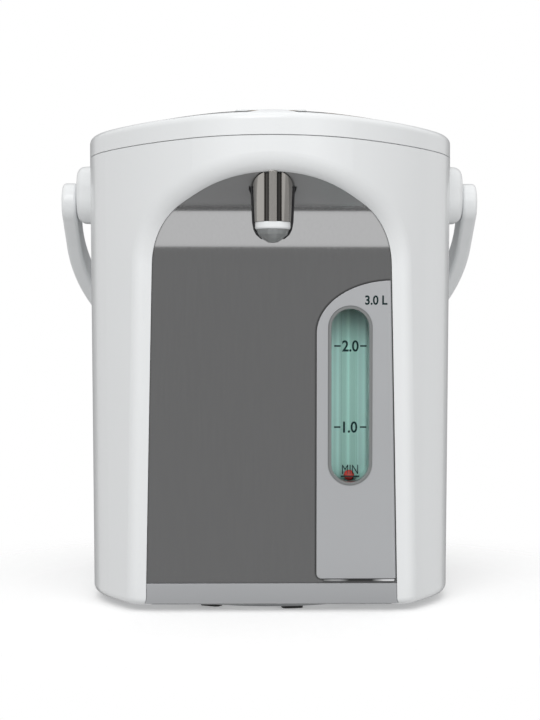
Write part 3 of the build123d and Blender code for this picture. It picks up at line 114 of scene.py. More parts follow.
class PotMarks(bpy.types.PropertyGroup):
    """Sizes of the printed marks and the small details"""

    digit_height: FloatProperty(
        name="Digit height", description="Height of the scale numbers",
        subtype="DISTANCE", unit="LENGTH", min=0.002, max=0.02, default=0.0067)
    dash_length: FloatProperty(
        name="Dash length", description="Length of the dash on each side of a number",
        subtype="DISTANCE", unit="LENGTH", min=0.001, max=0.01, default=0.0039)
    line_width: FloatProperty(
        name="Line width", description="Thickness of dashes and underlines",
        subtype="DISTANCE", unit="LENGTH", min=0.0002, max=0.002, default=0.00095)
    stroke_gain: FloatProperty(
        name="Stroke gain", description="How much wider the strokes of the letters are drawn",
        subtype="DISTANCE", unit="LENGTH", min=0, max=0.0005, default=0.0002)
    print_height: FloatProperty(
        name="Print thickness", description="How far the ink stands on its surface",
        subtype="DISTANCE", unit="LENGTH", min=0.00001, max=0.0005, default=0.00006)
    bead_height: FloatProperty(
        name="Bead height", description="Height of the bead at the foot of the gauge plate",
        subtype="DISTANCE", unit="LENGTH", min=0.0005, max=0.003, default=0.0014)
    slot_width: FloatProperty(
        name="Slot width", description="Width of the cross recess in a screw head",
        subtype="DISTANCE", unit="LENGTH", min=0.0002, max=0.002, default=0.0007)
    slot_share: FloatProperty(
        name="Slot length", description="Length of the cross recess as a share of the screw head",
        subtype="FACTOR", min=0.1, max=1, default=0.62)
    number_squeeze: FloatProperty(
        name="Number squeeze", description="Width of the numbers as a share of the type's own",
        subtype="FACTOR", min=0.3, max=1, default=0.9)
    full_share: FloatProperty(
        name="Full mark size", description="Height of the topmost mark as a share of a number's",
        subtype="FACTOR", min=0.3, max=1, default=0.82)
    full_inset: FloatProperty(
        name="Full mark inset", description="From the plate's right edge to the middle of the topmost mark",
        subtype="DISTANCE", unit="LENGTH", min=0.005, max=0.03, default=0.0126)
    full_drop: FloatProperty(
        name="Full mark drop", description="From the plate's top to the middle of the topmost mark",
        subtype="DISTANCE", unit="LENGTH", min=0.005, max=0.03, default=0.0119)
    minimum_share: FloatProperty(
        name="Lowest mark size", description="Height of the lowest mark as a share of a number's",
        subtype="FACTOR", min=0.3, max=1, default=0.88)
    minimum_squeeze: FloatProperty(
        name="Lowest mark squeeze", description="Width of the lowest mark as a share of the type's own",
        subtype="FACTOR", min=0.3, max=1, default=0.72)
    minimum_rise: FloatProperty(
        name="Lowest mark rise", description="From the resting float's foot to the middle of the lowest mark",
        subtype="DISTANCE", unit="LENGTH", min=0, max=0.02, default=0.0076)
    underline_rise: FloatProperty(
        name="Underline rise", description="From the resting float's foot to the underline",
        subtype="DISTANCE", unit="LENGTH", min=0, max=0.02, default=0.0034)
    litre_height: FloatProperty(
        name="Litre height", description="Height on the gauge that one litre takes",
        subtype="DISTANCE", unit="LENGTH", min=0.02, max=0.1, default=0.0492)
    first_litre: FloatProperty(
        name="First litre", description="Height above the table of the one litre mark",
        subtype="DISTANCE", unit="LENGTH", min=0.02, max=0.2, default=0.1130)


class PotStudio(bpy.types.PropertyGroup):
    """Camera, lights and floor"""

    camera_place: FloatVectorProperty(
        name="Camera place", description="Where the camera stands",
        subtype="TRANSLATION", unit="LENGTH", size=3, default=(-0.0137, -0.9938, 0.164))
    camera_lens: FloatProperty(
        name="Lens", description="Focal length in millimetres", min=10, max=300, default=74.2)
    camera_turn: FloatProperty(
        name="Camera turn", description="How far the camera is turned to the right",
        subtype="ANGLE", unit="ROTATION", default=math.radians(0.8))
    camera_shift: FloatProperty(
        name="Vertical shift", description="Shift of the picture, as a share of its long side",
        min=-1, max=1, default=-0.0236)
    ambient: FloatProperty(
        name="Ambient light", description="Brightness of the surroundings for matt surfaces",
        min=0, max=3, default=0.46)
    key_power: FloatProperty(
        name="Key power", description="Power of the large front light", min=0, max=500, default=36)
    fill_power: FloatProperty(
        name="Fill power", description="Power of the right hand light", min=0, max=500, default=14)
    top_power: FloatProperty(
        name="Top power", description="Power of the overhead light", min=0, max=500, default=5)
    card_level: FloatProperty(
        name="Card level", description="Brightness of the dark card that the front panel mirrors",
        min=0, max=1, default=0.297)
    floor_radius: FloatProperty(
        name="Floor radius", description="Size of the floor disc",
        subtype="DISTANCE", unit="LENGTH", min=0.5, max=10, default=1.6)
    back_card_level: FloatProperty(
        name="Back card level", description="Brightness of the card that the pot's flanks mirror",
        min=0, max=1, default=0.12)
    foot_card_level: FloatProperty(
        name="Foot card level", description="Brightness of the card on the table that the ceiling mirrors",
        min=0, max=1, default=0.04)
    side_card_level: FloatProperty(
        name="Side card level", description="Brightness of the card that the right flank mirrors",
        min=0, max=1, default=0.55)
    floor_glow: FloatProperty(
        name="Floor glow", description="Light that the table gives off, so that it blends into white",
        min=0, max=1, default=0.24)


# ------------------------------------------------------------------ shader groups
def feed(links, value, socket):
    """Gives a socket a plain number or the output of another node."""
    if isinstance(value, (int, float)):
        socket.default_value = value
    else:
        links.new(value, socket)


def math_node(nodes, links, operation, first, second):
    """A maths node fed by sockets or plain numbers; gives its output socket."""
    node = nodes.new("ShaderNodeMath")
    node.operation = operation
    feed(links, first, node.inputs[0])
    feed(links, second, node.inputs[1])
    return node.outputs[0]


def noise(nodes, links, place, detail, scale):
    """A noise over some coordinates; gives its output socket."""
    node = nodes.new("ShaderNodeTexNoise")
    node.inputs["Detail"].default_value = detail
    links.new(place, node.inputs["Vector"])
    feed(links, scale, node.inputs["Scale"])
    return node.outputs["Fac"]


def new_group(name, inputs, outputs):
    """An empty shader group with named sockets."""
    group = bpy.data.node_groups.new(name, "ShaderNodeTree")
    for label, kind, default in inputs:
        socket = group.interface.new_socket(label, in_out="INPUT", socket_type=kind)
        socket.default_value = default
    for label, kind in outputs:
        group.interface.new_socket(label, in_out="OUTPUT", socket_type=kind)
    return group, group.nodes.new("NodeGroupInput"), group.nodes.new("NodeGroupOutput")


def surface_group(name, inputs):
    """An empty shader group that gives a colour, a roughness and a normal."""
    return new_group(name, inputs, [("Colour", "NodeSocketColor"), ("Roughness", "NodeSocketFloat"),
                                    ("Normal", "NodeSocketVector")])


def end_surface(group, start, end, drift, shade, gloss, relief, depth, height):
    """Ends a surface group: a drift shifts its colour and roughness, a relief bends its normal."""
    nodes, links = group.nodes, group.links
    centred = math_node(nodes, links, "SUBTRACT", drift, 0.5)
    hue = nodes.new("ShaderNodeHueSaturation")
    links.new(start.outputs["Colour"], hue.inputs["Color"])
    value = math_node(nodes, links, "ADD", math_node(nodes, links, "MULTIPLY", centred, shade), 1.0)
    links.new(value, hue.inputs["Value"])
    links.new(hue.outputs["Color"], end.inputs["Colour"])
    shift = math_node(nodes, links, "MULTIPLY", centred, gloss)
    links.new(math_node(nodes, links, "ADD", shift, start.outputs["Roughness"]), end.inputs["Roughness"])
    bump = nodes.new("ShaderNodeBump")
    bump.inputs["Distance"].default_value = height
    links.new(depth, bump.inputs["Strength"])
    links.new(relief, bump.inputs["Height"])
    links.new(bump.outputs["Normal"], end.inputs["Normal"])


def moulded_group():
    """Fine moulding grain with slow drifts of colour and gloss."""
    group, start, end = surface_group("Moulded surface", [
        ("Colour", "NodeSocketColor", (0.8, 0.8, 0.8, 1)), ("Shade Drift", "NodeSocketFloat", 0.02),
        ("Grain Scale", "NodeSocketFloat", 1800.0), ("Roughness", "NodeSocketFloat", 0.3),
        ("Gloss Drift", "NodeSocketFloat", 0.05), ("Grain Depth", "NodeSocketFloat", 0.03)])
    nodes, links = group.nodes, group.links
    place = nodes.new("ShaderNodeTexCoord").outputs["Object"]
    slow = noise(nodes, links, place, 3, DRIFT_SCALE)
    grain = noise(nodes, links, place, 2, start.outputs["Grain Scale"])
    end_surface(group, start, end, slow, start.outputs["Shade Drift"], start.outputs["Gloss Drift"],
                grain, start.outputs["Grain Depth"], GRAIN_HEIGHT)
    return group


def drawn_group():
    """Faint parallel drawing lines of a metal sheet, running up the sheet."""
    group, start, end = surface_group("Drawn metal", [
        ("Colour", "NodeSocketColor", (0.5, 0.5, 0.5, 1)), ("Roughness", "NodeSocketFloat", 0.2),
        ("Line Scale", "NodeSocketFloat", 900.0), ("Line Depth", "NodeSocketFloat", 0.05),
        ("Line Stretch", "NodeSocketVector", (1.0, 1.0, 0.02))])
    nodes, links = group.nodes, group.links
    squeeze = nodes.new("ShaderNodeVectorMath")
    squeeze.operation = "MULTIPLY"
    links.new(nodes.new("ShaderNodeTexCoord").outputs["Object"], squeeze.inputs[0])
    links.new(start.outputs["Line Stretch"], squeeze.inputs[1])
    lines = noise(nodes, links, squeeze.outputs["Vector"], 4, start.outputs["Line Scale"])
    end_surface(group, start, end, lines, LINE_SHADE, LINE_GLOSS,
                lines, start.outputs["Line Depth"], LINE_HEIGHT)
    return group


def shared_group(name, maker):
    """The named group, made the first time it is asked for."""
    return bpy.data.node_groups.get(name) or maker()


def seam_group():
    """Paints shade into a colour where another piece stands close, as painted shade along a joint line."""
    group, start, end = new_group(
        "Seam shade",
        [("Colour", "NodeSocketColor", (0.5, 0.5, 0.5, 1)), ("Reach", "NodeSocketFloat", 0.002),
         ("Depth", "NodeSocketFloat", 2.0)],
        [("Colour", "NodeSocketColor")])
    nodes, links = group.nodes, group.links
    near = nodes.new("ShaderNodeAmbientOcclusion")
    near.samples = 8
    links.new(start.outputs["Reach"], near.inputs["Distance"])
    open_share = math_node(nodes, links, "POWER", near.outputs["AO"], start.outputs["Depth"])
    shade = nodes.new("ShaderNodeVectorMath")
    shade.operation = "SCALE"
    links.new(start.outputs["Colour"], shade.inputs[0])
    links.new(open_share, shade.inputs["Scale"])
    links.new(shade.outputs["Vector"], end.inputs["Colour"])
    return group


def add_seam_shade(material, reach, depth):
    """Puts the painted seam shade between a material's colour and its shader."""
    nodes, links = material.node_tree.nodes, material.node_tree.links
    shader = nodes["Principled BSDF"]
    source = shader.inputs["Base Color"].links[0].from_socket
    seam = nodes.new("ShaderNodeGroup")
    seam.node_tree = shared_group("Seam shade", seam_group)
    seam.inputs["Reach"].default_value = reach
    seam.inputs["Depth"].default_value = depth
    links.new(source, seam.inputs["Colour"])
    links.new(seam.outputs["Colour"], shader.inputs["Base Color"])
    return material


def soft_edge_normal(nodes, links, normal, radius):
    """Softens hard CAD edges for the light."""
    bevel = nodes.new("ShaderNodeBevel")
    bevel.samples = 4
    bevel.inputs["Radius"].default_value = radius
    links.new(normal, bevel.inputs["Normal"])
    return bevel.outputs["Normal"]


# ------------------------------------------------------------------ materials
def grouped_material(name, group, values, principled=(), edge=0.0):
    """A Principled material whose colour, roughness and normal come from a group."""
    material = bpy.data.materials.new(name)
    material.use_nodes = True
    nodes, links = material.node_tree.nodes, material.node_tree.links
    shader = nodes["Principled BSDF"]
    surface = nodes.new("ShaderNodeGroup")
    surface.node_tree = group
    for label, value in values.items():
        surface.inputs[label].default_value = value
    for label, value in dict(principled).items():
        shader.inputs[label].default_value = value
    links.new(surface.outputs["Colour"], shader.inputs["Base Color"])
    links.new(surface.outputs["Roughness"], shader.inputs["Roughness"])
    normal = surface.outputs["Normal"]
    if edge:
        normal = soft_edge_normal(nodes, links, normal, edge)
    links.new(normal, shader.inputs["Normal"])
    return material


def moulded(name, colour, roughness, principled=(), edge=0.0, **extra):
    """A moulded or painted surface."""
    values = {"Colour": (*colour, 1), "Roughness": roughness, **extra}
    return grouped_material(name, shared_group("Moulded surface", moulded_group), values, principled, edge)


def drawn(name, colour, roughness, principled=(), edge=0.0, **extra):
    """A bare metal surface with drawing lines."""
    values = {"Colour": (*colour, 1), "Roughness": roughness, **extra}
    settings = {"Metallic": 1.0, **dict(principled)}
    return grouped_material(name, shared_group("Drawn metal", drawn_group), values, settings, edge)


def finishes():
    """The material of each slot of the record."""
    look = bpy.context.scene.pot_finish
    shell, sheet, plate = look.shell_colour[:], look.sheet_colour[:], look.plate_colour[:]
    green, red = look.window_colour[:], look.float_colour[:]
    clear = {"Transmission Weight": 1.0, "IOR": 1.06}
    wet = {**clear, "IOR": 1.015}           # water in the tube leaves it hardly visible
    return {
        "white_plastic": moulded("White shell", shell, look.shell_roughness, {"Coat Weight": 0.2}, 0.0005),
        "grey_plastic": moulded("Grey plastic", (0.33, 0.34, 0.35), 0.45, edge=0.0004),
        "black_plastic": moulded("Black plastic", (0.012, 0.012, 0.014), 0.35, edge=0.0003),
        "silver_sheet": sheet_material(sheet, look.sheet_roughness, look.ceiling_roughness),
        "pale_silver": moulded("Gauge plate silver", plate, 0.32, {"Metallic": 0.35}, 0.0004),
        "bezel_grey": moulded("Bezel grey", (0.26, 0.27, 0.27), 0.3, {"Metallic": 0.3}, 0.0003),
        "clear_window": moulded("Window pane", (0.93, 0.98, 0.96), 0.04, clear),
        "tube_glass": moulded("Gauge tube", (0.97, 0.99, 0.98), 0.03, wet),
        "green_backing": backing_material(green),
        "red_float": moulded("Red float", red, 0.25),
        "chrome_trim": spout_material(),
        "frosted_nozzle": moulded("Frosted nozzle", (0.55, 0.57, 0.57), 0.25,
                                  {"Transmission Weight": 0.65, "IOR": 1.4}, 0.0003),
        "silicone": moulded("Silicone", (0.72, 0.72, 0.69), 0.5, {"Subsurface Weight": 0.1}),
        "stainless": drawn("Stainless", (0.55, 0.55, 0.54), 0.28),
        "felt": moulded("Felt", (0.62, 0.6, 0.55), 0.95, **{"Grain Depth": 0.6, "Grain Scale": 900.0}),
        "heater_metal": drawn("Heater metal", (0.6, 0.6, 0.58), 0.4),
        "motor_steel": drawn("Motor steel", (0.42, 0.42, 0.42), 0.35),
        "pin_steel": drawn("Pin steel", (0.5, 0.5, 0.5), 0.3),
        "dark_fascia": fascia_material(),
        "lcd_grey": moulded("Display grey", (0.28, 0.32, 0.27), 0.3),
        "amber_lens": moulded("Amber lens", (0.75, 0.25, 0.05), 0.2, {"Transmission Weight": 0.4}),
        "circuit_board": moulded("Circuit board", (0.03, 0.12, 0.05), 0.4),
        "gold_key": moulded("Bronze key", (0.38, 0.27, 0.16), 0.25, {"Metallic": 0.6}, 0.0004),
        "grey_key": moulded("Grey key", (0.55, 0.55, 0.55), 0.3, {}, 0.0004),
        "rubber_pad": moulded("Rubber pad", (0.02, 0.02, 0.02), 0.8, **{"Grain Depth": 0.3}),
        "brass_contact": drawn("Contact brass", (0.7, 0.52, 0.25), 0.25),
    }


def object_axes(nodes, links):
    """Sockets for the three object coordinates."""
    place = nodes.new("ShaderNodeTexCoord")
    split = nodes.new("ShaderNodeSeparateXYZ")
    links.new(place.outputs["Object"], split.inputs["Vector"])
    return split.outputs


def ranged(nodes, links, value, low, high):
    """Brings a value between two places to nought and one."""
    node = nodes.new("ShaderNodeMapRange")
    node.inputs["From Min"].default_value = low
    node.inputs["From Max"].default_value = high
    links.new(value, node.inputs["Value"])
    return node.outputs["Result"]


def level_ramp(nodes, links, value, stops):
    """Grey levels along a value, from stops of a place and a level."""
    node = nodes.new("ShaderNodeValToRGB")
    for index, (place, level) in enumerate(stops):
        stop = node.color_ramp.elements[index] if index < 2 else node.color_ramp.elements.new(place)
        stop.position = place
        stop.color = (level, level, level, 1)
    links.new(value, node.inputs["Fac"])
    return node.outputs["Color"]


def shade_by(material, levels):
    """Multiplies the colour of a material's surface group by a grey level, which paints light and shade into
    it.
    """
    nodes, links = material.node_tree.nodes, material.node_tree.links
    shade = nodes.new("ShaderNodeVectorMath")
    shade.operation = "MULTIPLY"
    links.new(nodes["Group"].outputs["Colour"], shade.inputs[0])
    links.new(levels, shade.inputs[1])
    links.new(shade.outputs["Vector"], nodes["Principled BSDF"].inputs["Base Color"])
    return material


def sheet_material(colour, flat_roughness, ceiling_roughness):
    """Dark silver sheet with painted shade along its edge where the casing stands close; its rolled ceiling
    mirrors less sharply.
    """
    material = drawn("Front sheet", colour, flat_roughness, **{"Line Depth": 0.004})
    nodes, links = material.node_tree.nodes, material.node_tree.links
    ceiling_height, blend = 22 * MM, 4 * MM
    # reach and depth of the painted shade along the sheet's edge
    painted_shade_reach, painted_shade_depth = 1.6 * MM, 2.5
    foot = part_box("recess_panel")[1].z - ceiling_height
    height = ranged(nodes, links, object_axes(nodes, links)["Z"], foot, foot + blend)
    extra = math_node(nodes, links, "MULTIPLY", height, ceiling_roughness - flat_roughness)
    rough = math_node(nodes, links, "ADD", nodes["Group"].outputs["Roughness"], extra)
    links.new(rough, nodes["Principled BSDF"].inputs["Roughness"])
    return add_seam_shade(material, painted_shade_reach, painted_shade_depth)


def spout_material():
    """Smoked metal with painted reflections: painted light and dark bands on its sides, painted dark
    reflections in the flutes and a painted highlight up the rib on its front.
    """
    material = drawn("Spout trim", (0.40, 0.385, 0.365), 0.16, edge=0.0002)
    nodes, links = material.node_tree.nodes, material.node_tree.links
    low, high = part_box("spout_cover")
    across = ranged(nodes, links, object_axes(nodes, links)["X"], low.x, high.x)
    # painted reflections: grey levels across the spout stand in for what its metal mirrors; the rib's level
    # is a painted highlight
    left_side = ((0.0, 0.30), (0.08, 0.95), (0.27, 0.90))
    left_flute = ((0.31, 0.22), (0.400, 0.08))
    rib = ((0.408, 2.05), (0.586, 2.05))
    right_flute = ((0.592, 0.04), (0.69, 0.14))
    right_side = ((0.71, 0.82), (0.88, 1.0), (1.0, 0.30))
    painted_reflection_zones = (*left_side, *left_flute, *rib, *right_flute, *right_side)
    return shade_by(material, level_ramp(nodes, links, across, painted_reflection_zones))


def backing_material(green):
    """Green channel behind the tube, with painted highlights in upright streaks and painted shade at its
    sides and under its upper end.
    """
    material = moulded("Green backing", green, 0.3)
    nodes, links = material.node_tree.nodes, material.node_tree.links
    low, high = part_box("gauge_pane")
    axes = object_axes(nodes, links)
    across = ranged(nodes, links, axes["X"], low.x, high.x)
    # painted highlights in upright streaks across the channel, with painted shade at both sides
    painted_streak_highlights = ((0.0, 0.55), (0.07, 0.95), (0.13, 0.80), (0.22, 1.0), (0.27, 0.82), (0.42, 0.84), (0.5, 1.12),
               (0.56, 0.84), (0.68, 0.82), (0.74, 1.0), (0.80, 0.82), (0.93, 0.98), (1.0, 0.55))
    # painted shade that deepens towards the channel's upper end
    painted_shade_length, painted_shade_floor = 24 * MM, 0.33
    height = ranged(nodes, links, axes["Z"], high.z + MM, high.z - painted_shade_length)
    painted_top_shade = math_node(nodes, links, "MULTIPLY", height, 1 - painted_shade_floor)
    painted_top_shade = math_node(nodes, links, "ADD", painted_top_shade, painted_shade_floor)
    level = math_node(nodes, links, "MULTIPLY", level_ramp(nodes, links, across, painted_streak_highlights), painted_top_shade)
    return shade_by(material, level)


def bead_material(left, right):
    """Bead with a painted reflection: a painted dark patch in its middle and painted glints towards its ends.
    """
    material = moulded("Plate bead", (0.86, 0.87, 0.88), 0.2)
    nodes, links = material.node_tree.nodes, material.node_tree.links
    across = ranged(nodes, links, object_axes(nodes, links)["X"], left, right)
    # painted reflection: grey levels along the bead, dark in the middle and bright towards the ends
    painted_glints = ((0.0, 0.18), (0.12, 0.42), (0.24, 0.40), (0.36, 0.05), (0.68, 0.05), (0.84, 0.80), (0.98, 0.95),
              (1.0, 0.30))
    return shade_by(material, level_ramp(nodes, links, across, painted_glints))


def fascia_material():
    """Dark gloss on the left of the fascia, turning to bronze on its right end."""
    material = moulded("Fascia gloss", (0.02, 0.021, 0.024), 0.2, {"Specular IOR Level": 0.02}, 0.0003)
    nodes, links = material.node_tree.nodes, material.node_tree.links
    bronze_start, blend = 30 * MM, 3 * MM
    bronze = ranged(nodes, links, object_axes(nodes, links)["X"], bronze_start, bronze_start + blend)
    mix = nodes.new("ShaderNodeMix")
    mix.data_type = "RGBA"
    mix.inputs["B"].default_value = (0.17, 0.10, 0.05, 1)
    links.new(bronze, mix.inputs["Factor"])
    links.new(nodes["Group"].outputs["Colour"], mix.inputs["A"])
    links.new(mix.outputs["Result"], nodes["Principled BSDF"].inputs["Base Color"])
    return material


def ink_material():
    """Flat dark ink of the printed marks."""
    colour = bpy.context.scene.pot_finish.ink_colour[:]
    return moulded("Printed ink", colour, 0.6, {"Specular IOR Level": 0.05})


# ------------------------------------------------------------------ mesh helpers
def add_piece(name, mesh, material, body):
    """Links a finished mesh as a piece of the object, riding on a body."""
    piece = bpy.data.objects.new(name, mesh)
    bpy.context.scene.collection.objects.link(piece)
    piece.data.materials.clear()
    piece.data.materials.append(material)
    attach(piece, body)
    return piece


def corner_box(places):
    """The lowest and the highest corner round some places."""
    return Vector(map(min, *places)), Vector(map(max, *places))


def text_mesh(words, height, thickness, width_share=1.0, gain=0.0):
    """Raised lettering, centred on its own middle, lying in the XY plane."""
    curve = bpy.data.curves.new("lettering", "FONT")
    curve.body = words
    curve.size = height / DIGIT_SHARE
    curve.extrude = thickness / 2
    curve.offset = gain
    curve.resolution_u = 6
    holder = bpy.data.objects.new("lettering", curve)
    bpy.context.scene.collection.objects.link(holder)
    graph = bpy.context.evaluated_depsgraph_get()
    mesh = bpy.data.meshes.new_from_object(holder.evaluated_get(graph))
    bpy.data.objects.remove(holder)
    low, high = corner_box([vert.co for vert in mesh.vertices])
    mesh.transform(Matrix.Diagonal((width_share, 1, 1, 1)) @ Matrix.Translation(-(low + high) / 2))
    return mesh


def bar_mesh(width, height, thickness, rounding=0.0):
    """A bar, centred, lying in the XY plane, with or without rounded edges."""
    work = bmesh.new()
    bmesh.ops.create_cube(work, size=1, matrix=Matrix.Diagonal((width, height, thickness, 1)))
    if rounding:
        bmesh.ops.bevel(work, geom=work.edges, offset=rounding, segments=4, profile=0.5,
                        affect="EDGES", material=-1)
    return finished_mesh(work, "bar")


def finished_mesh(work, name):
    """Closes a bmesh into a mesh with its normals outward."""
    bmesh.ops.recalc_face_normals(work, faces=work.faces)
    mesh = bpy.data.meshes.new(name)
    work.to_mesh(mesh)
    work.free()
    return mesh


def join_meshes(meshes, name):
    """One mesh from several."""
    work = bmesh.new()
    for mesh in meshes:
        work.from_mesh(mesh)
        bpy.data.meshes.remove(mesh)
    joined = bpy.data.meshes.new(name)
    work.to_mesh(joined)
    work.free()
    return joined


# ------------------------------------------------------------------ printed marks
def front_place(x, z, node, lift):
    """A place on the leaning front face of a piece, found by looking at it from the front."""
    hit, place = frame["nodes"][node].ray_cast(Vector((x, -1, z)), Vector((0, 1, 0)))[:2]
    if not hit:
        raise RuntimeError(f"nothing of {node} lies at {x}, {z}")
    turn = Matrix.Rotation(QUARTER_TURN + FRONT_LEAN, 4, "X")
    return Matrix.Translation((x, place.y - lift, z)) @ turn


def placed(mesh, place):
    """The same mesh, put in its place."""
    mesh.transform(place)
    return mesh


def scale_number(litres, z, x, marks):
    """A number with a dash on each side."""
    half_number = marks.digit_height * HALF_NUMBER_SHARE
    reach = half_number + marks.line_width + marks.dash_length / 2
    lift = marks.print_height / 2
    number = text_mesh(f"{litres:.1f}", marks.digit_height, marks.print_height, marks.number_squeeze,
                       marks.stroke_gain)
    meshes = [placed(number, front_place(x, z, "gauge_pane", lift))]
    for side in (-1, 1):
        dash = bar_mesh(marks.dash_length, marks.line_width, marks.print_height)
        meshes.append(placed(dash, front_place(x + side * reach, z, "gauge_pane", lift)))
    return meshes


class POT_OT_scale(bpy.types.Operator):
    """Print the water scale on the gauge window and its plate"""

    bl_idname = "pot.scale"
    bl_label = "Print the water scale"

    def execute(self, context):
        marks = context.scene.pot_marks
        low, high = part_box("gauge_pane")
        x = (low.x + high.x) / 2
        meshes = []
        for litres in (1, 2):
            z = marks.first_litre + (litres - 1) * marks.litre_height
            meshes += scale_number(litres, z, x, marks)
        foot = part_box("float_ball")[0].z
        thickness = marks.print_height
        lift = thickness / 2
        minimum = text_mesh("MIN", marks.digit_height * marks.minimum_share, thickness, marks.minimum_squeeze)
        meshes.append(placed(minimum, front_place(x, foot + marks.minimum_rise, "gauge_pane", lift)))
        underline = bar_mesh(marks.digit_height * UNDERLINE_SHARE, marks.line_width, thickness)
        meshes.append(placed(underline, front_place(x, foot + marks.underline_rise, "gauge_pane", lift)))
        ink = ink_material()
        add_piece("gauge_scale_print", join_meshes(meshes, "gauge_scale_print"), ink, "pot")
        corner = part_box("gauge_plate")[1]
        full = text_mesh("3.0 L", marks.digit_height * marks.full_share, thickness, marks.number_squeeze,
                         marks.stroke_gain)
        place = front_place(corner.x - marks.full_inset, corner.z - marks.full_drop, "gauge_plate", lift)
        add_piece("full_mark_print", placed(full, place), ink, "pot")
        return {"FINISHED"}


class POT_OT_plate_bead(bpy.types.Operator):
    """Lay the bead along the foot of the gauge plate, bright with painted glints"""

    bl_idname = "pot.plate_bead"
    bl_label = "Lay the gauge plate's bead"

    def execute(self, context):
        marks = context.scene.pot_marks
        low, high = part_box("gauge_plate")
        size = marks.bead_height
        left, right = low.x + 3 * size, high.x - size / 2
        bead = bar_mesh(right - left, size, size, 0.4 * size)
        place = front_place((left + right) / 2, low.z - 0.8 * size, "recess_panel", 0)
        add_piece("gauge_plate_bead", placed(bead, place), bead_material(left, right), "pot")
        return {"FINISHED"}


def loose_parts(mesh):
    """The separate shells of a mesh, in the order of their corners, each as a list of places."""
    work = bmesh.new()
    work.from_mesh(mesh)
    seen, shells = set(), []
    for first in work.verts:
        if first in seen:
            continue
        seen.add(first)
        front, shell = [first], []
        while front:
            vert = front.pop()
            shell.append(vert.co.copy())
            for edge in vert.link_edges:
                other = edge.other_vert(vert)
                if other not in seen:
                    seen.add(other)
                    front.append(other)
        shells.append(shell)
    work.free()
    return shells


class POT_OT_screw_slots(bpy.types.Operator):
    """Mark a cross recess on the head of each base screw with near-black bars of painted shade"""

    bl_idname = "pot.screw_slots"
    bl_label = "Mark the base screws"

    def execute(self, context):
        marks = context.scene.pot_marks
        meshes = []
        for corners in loose_parts(frame["nodes"]["base_screws"].data):
            low, high = corner_box(corners)
            centre = Matrix.Translation(((low.x + high.x) / 2, (low.y + high.y) / 2, low.z))
            for turn in (0, QUARTER_TURN):
                slot = bar_mesh((high.x - low.x) * marks.slot_share, marks.slot_width, marks.print_height)
                meshes.append(placed(slot, centre @ Matrix.Rotation(turn, 4, "Z")))
        if not meshes:
            raise RuntimeError("no base screw was found")
        # painted shade: near-black flat bars stand in for the shaded hollow of each cross recess
        material = moulded("Screw recess shade", (0.01, 0.01, 0.01), 0.7)
        add_piece("screw_recess_shade", join_meshes(meshes, "screw_recess_shade"), material, "pot")
        return {"FINISHED"}


class POT_OT_finishes(bpy.types.Operator):
    """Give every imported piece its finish"""

    bl_idname = "pot.finishes"
    bl_label = "Finish the packed pieces"

    def execute(self, context):
        made = finishes()
        slots = {part["node"]: part["material_slot"] for part in frame["record"]["subparts"]}
        missing = [slot for slot in slots.values() if slot not in made]
        if missing:
            raise RuntimeError(f"no finish for {missing}")
        for node, piece in frame["nodes"].items():
            piece.data.materials.clear()
            piece.data.materials.append(made[slots[node]])
        return {"FINISHED"}


# ------------------------------------------------------------------ studio
def look_at(place, target):
    """The turn that points a light or a camera at a target."""
    return (Vector(target) - Vector(place)).to_track_quat("-Z", "Y").to_euler()


def add_area(name, place, size, power):
    """A soft rectangular light that points at the pot's middle."""
    light = bpy.data.lights.new(name, "AREA")
    light.shape = "RECTANGLE"
    light.size, light.size_y = size
    light.energy = power
    lamp = bpy.data.objects.new(name, light)
    lamp.location = place
    lamp.rotation_euler = look_at(place, AIM)
    bpy.context.scene.collection.objects.link(lamp)
    return lamp


def make_world(ambient):
    """White to the eye and in mirrors, softer for matt surfaces."""
    world = bpy.data.worlds.new("Studio surround")
    bpy.context.scene.world = world
    world.use_nodes = True
    nodes, links = world.node_tree.nodes, world.node_tree.links
    rays = nodes.new("ShaderNodeLightPath")
    seen = math_node(nodes, links, "MAXIMUM", rays.outputs["Is Camera Ray"], rays.outputs["Is Glossy Ray"])
    seen = math_node(nodes, links, "MAXIMUM", seen, rays.outputs["Is Transmission Ray"])
    lift = math_node(nodes, links, "MULTIPLY", seen, 1 - ambient)
    strength = math_node(nodes, links, "ADD", lift, ambient)
    background = nodes["Background"]
    background.inputs["Color"].default_value = (1, 1, 1, 1)
    links.new(strength, background.inputs["Strength"])


def floor_material(radius, glow):
    """Pale floor that fades into the surround at its edge."""
    material = bpy.data.materials.new("Floor")
    material.use_nodes = True
    nodes, links = material.node_tree.nodes, material.node_tree.links
    shader, end = nodes["Principled BSDF"], nodes["Material Output"]
    shader.inputs["Base Color"].default_value = (0.93, 0.93, 0.93, 1)
    shader.inputs["Roughness"].default_value = 0.9
    shader.inputs["Specular IOR Level"].default_value = 0
    shader.inputs["Emission Color"].default_value = (1, 1, 1, 1)
    shader.inputs["Emission Strength"].default_value = glow
    place = nodes.new("ShaderNodeTexCoord")
    reach = nodes.new("ShaderNodeVectorMath")
    reach.operation = "LENGTH"
    links.new(place.outputs["Object"], reach.inputs[0])
    fade = nodes.new("ShaderNodeMapRange")
    fade.interpolation_type = "SMOOTHSTEP"
    fade.inputs["From Min"].default_value = radius * FLOOR_FADE[0]
    fade.inputs["From Max"].default_value = radius * FLOOR_FADE[1]
    links.new(reach.outputs["Value"], fade.inputs["Value"])
    through = nodes.new("ShaderNodeBsdfTransparent")
    mix = nodes.new("ShaderNodeMixShader")
    links.new(fade.outputs["Result"], mix.inputs[0])
    links.new(shader.outputs[0], mix.inputs[1])
    links.new(through.outputs[0], mix.inputs[2])
    links.new(mix.outputs[0], end.inputs["Surface"])
    return material


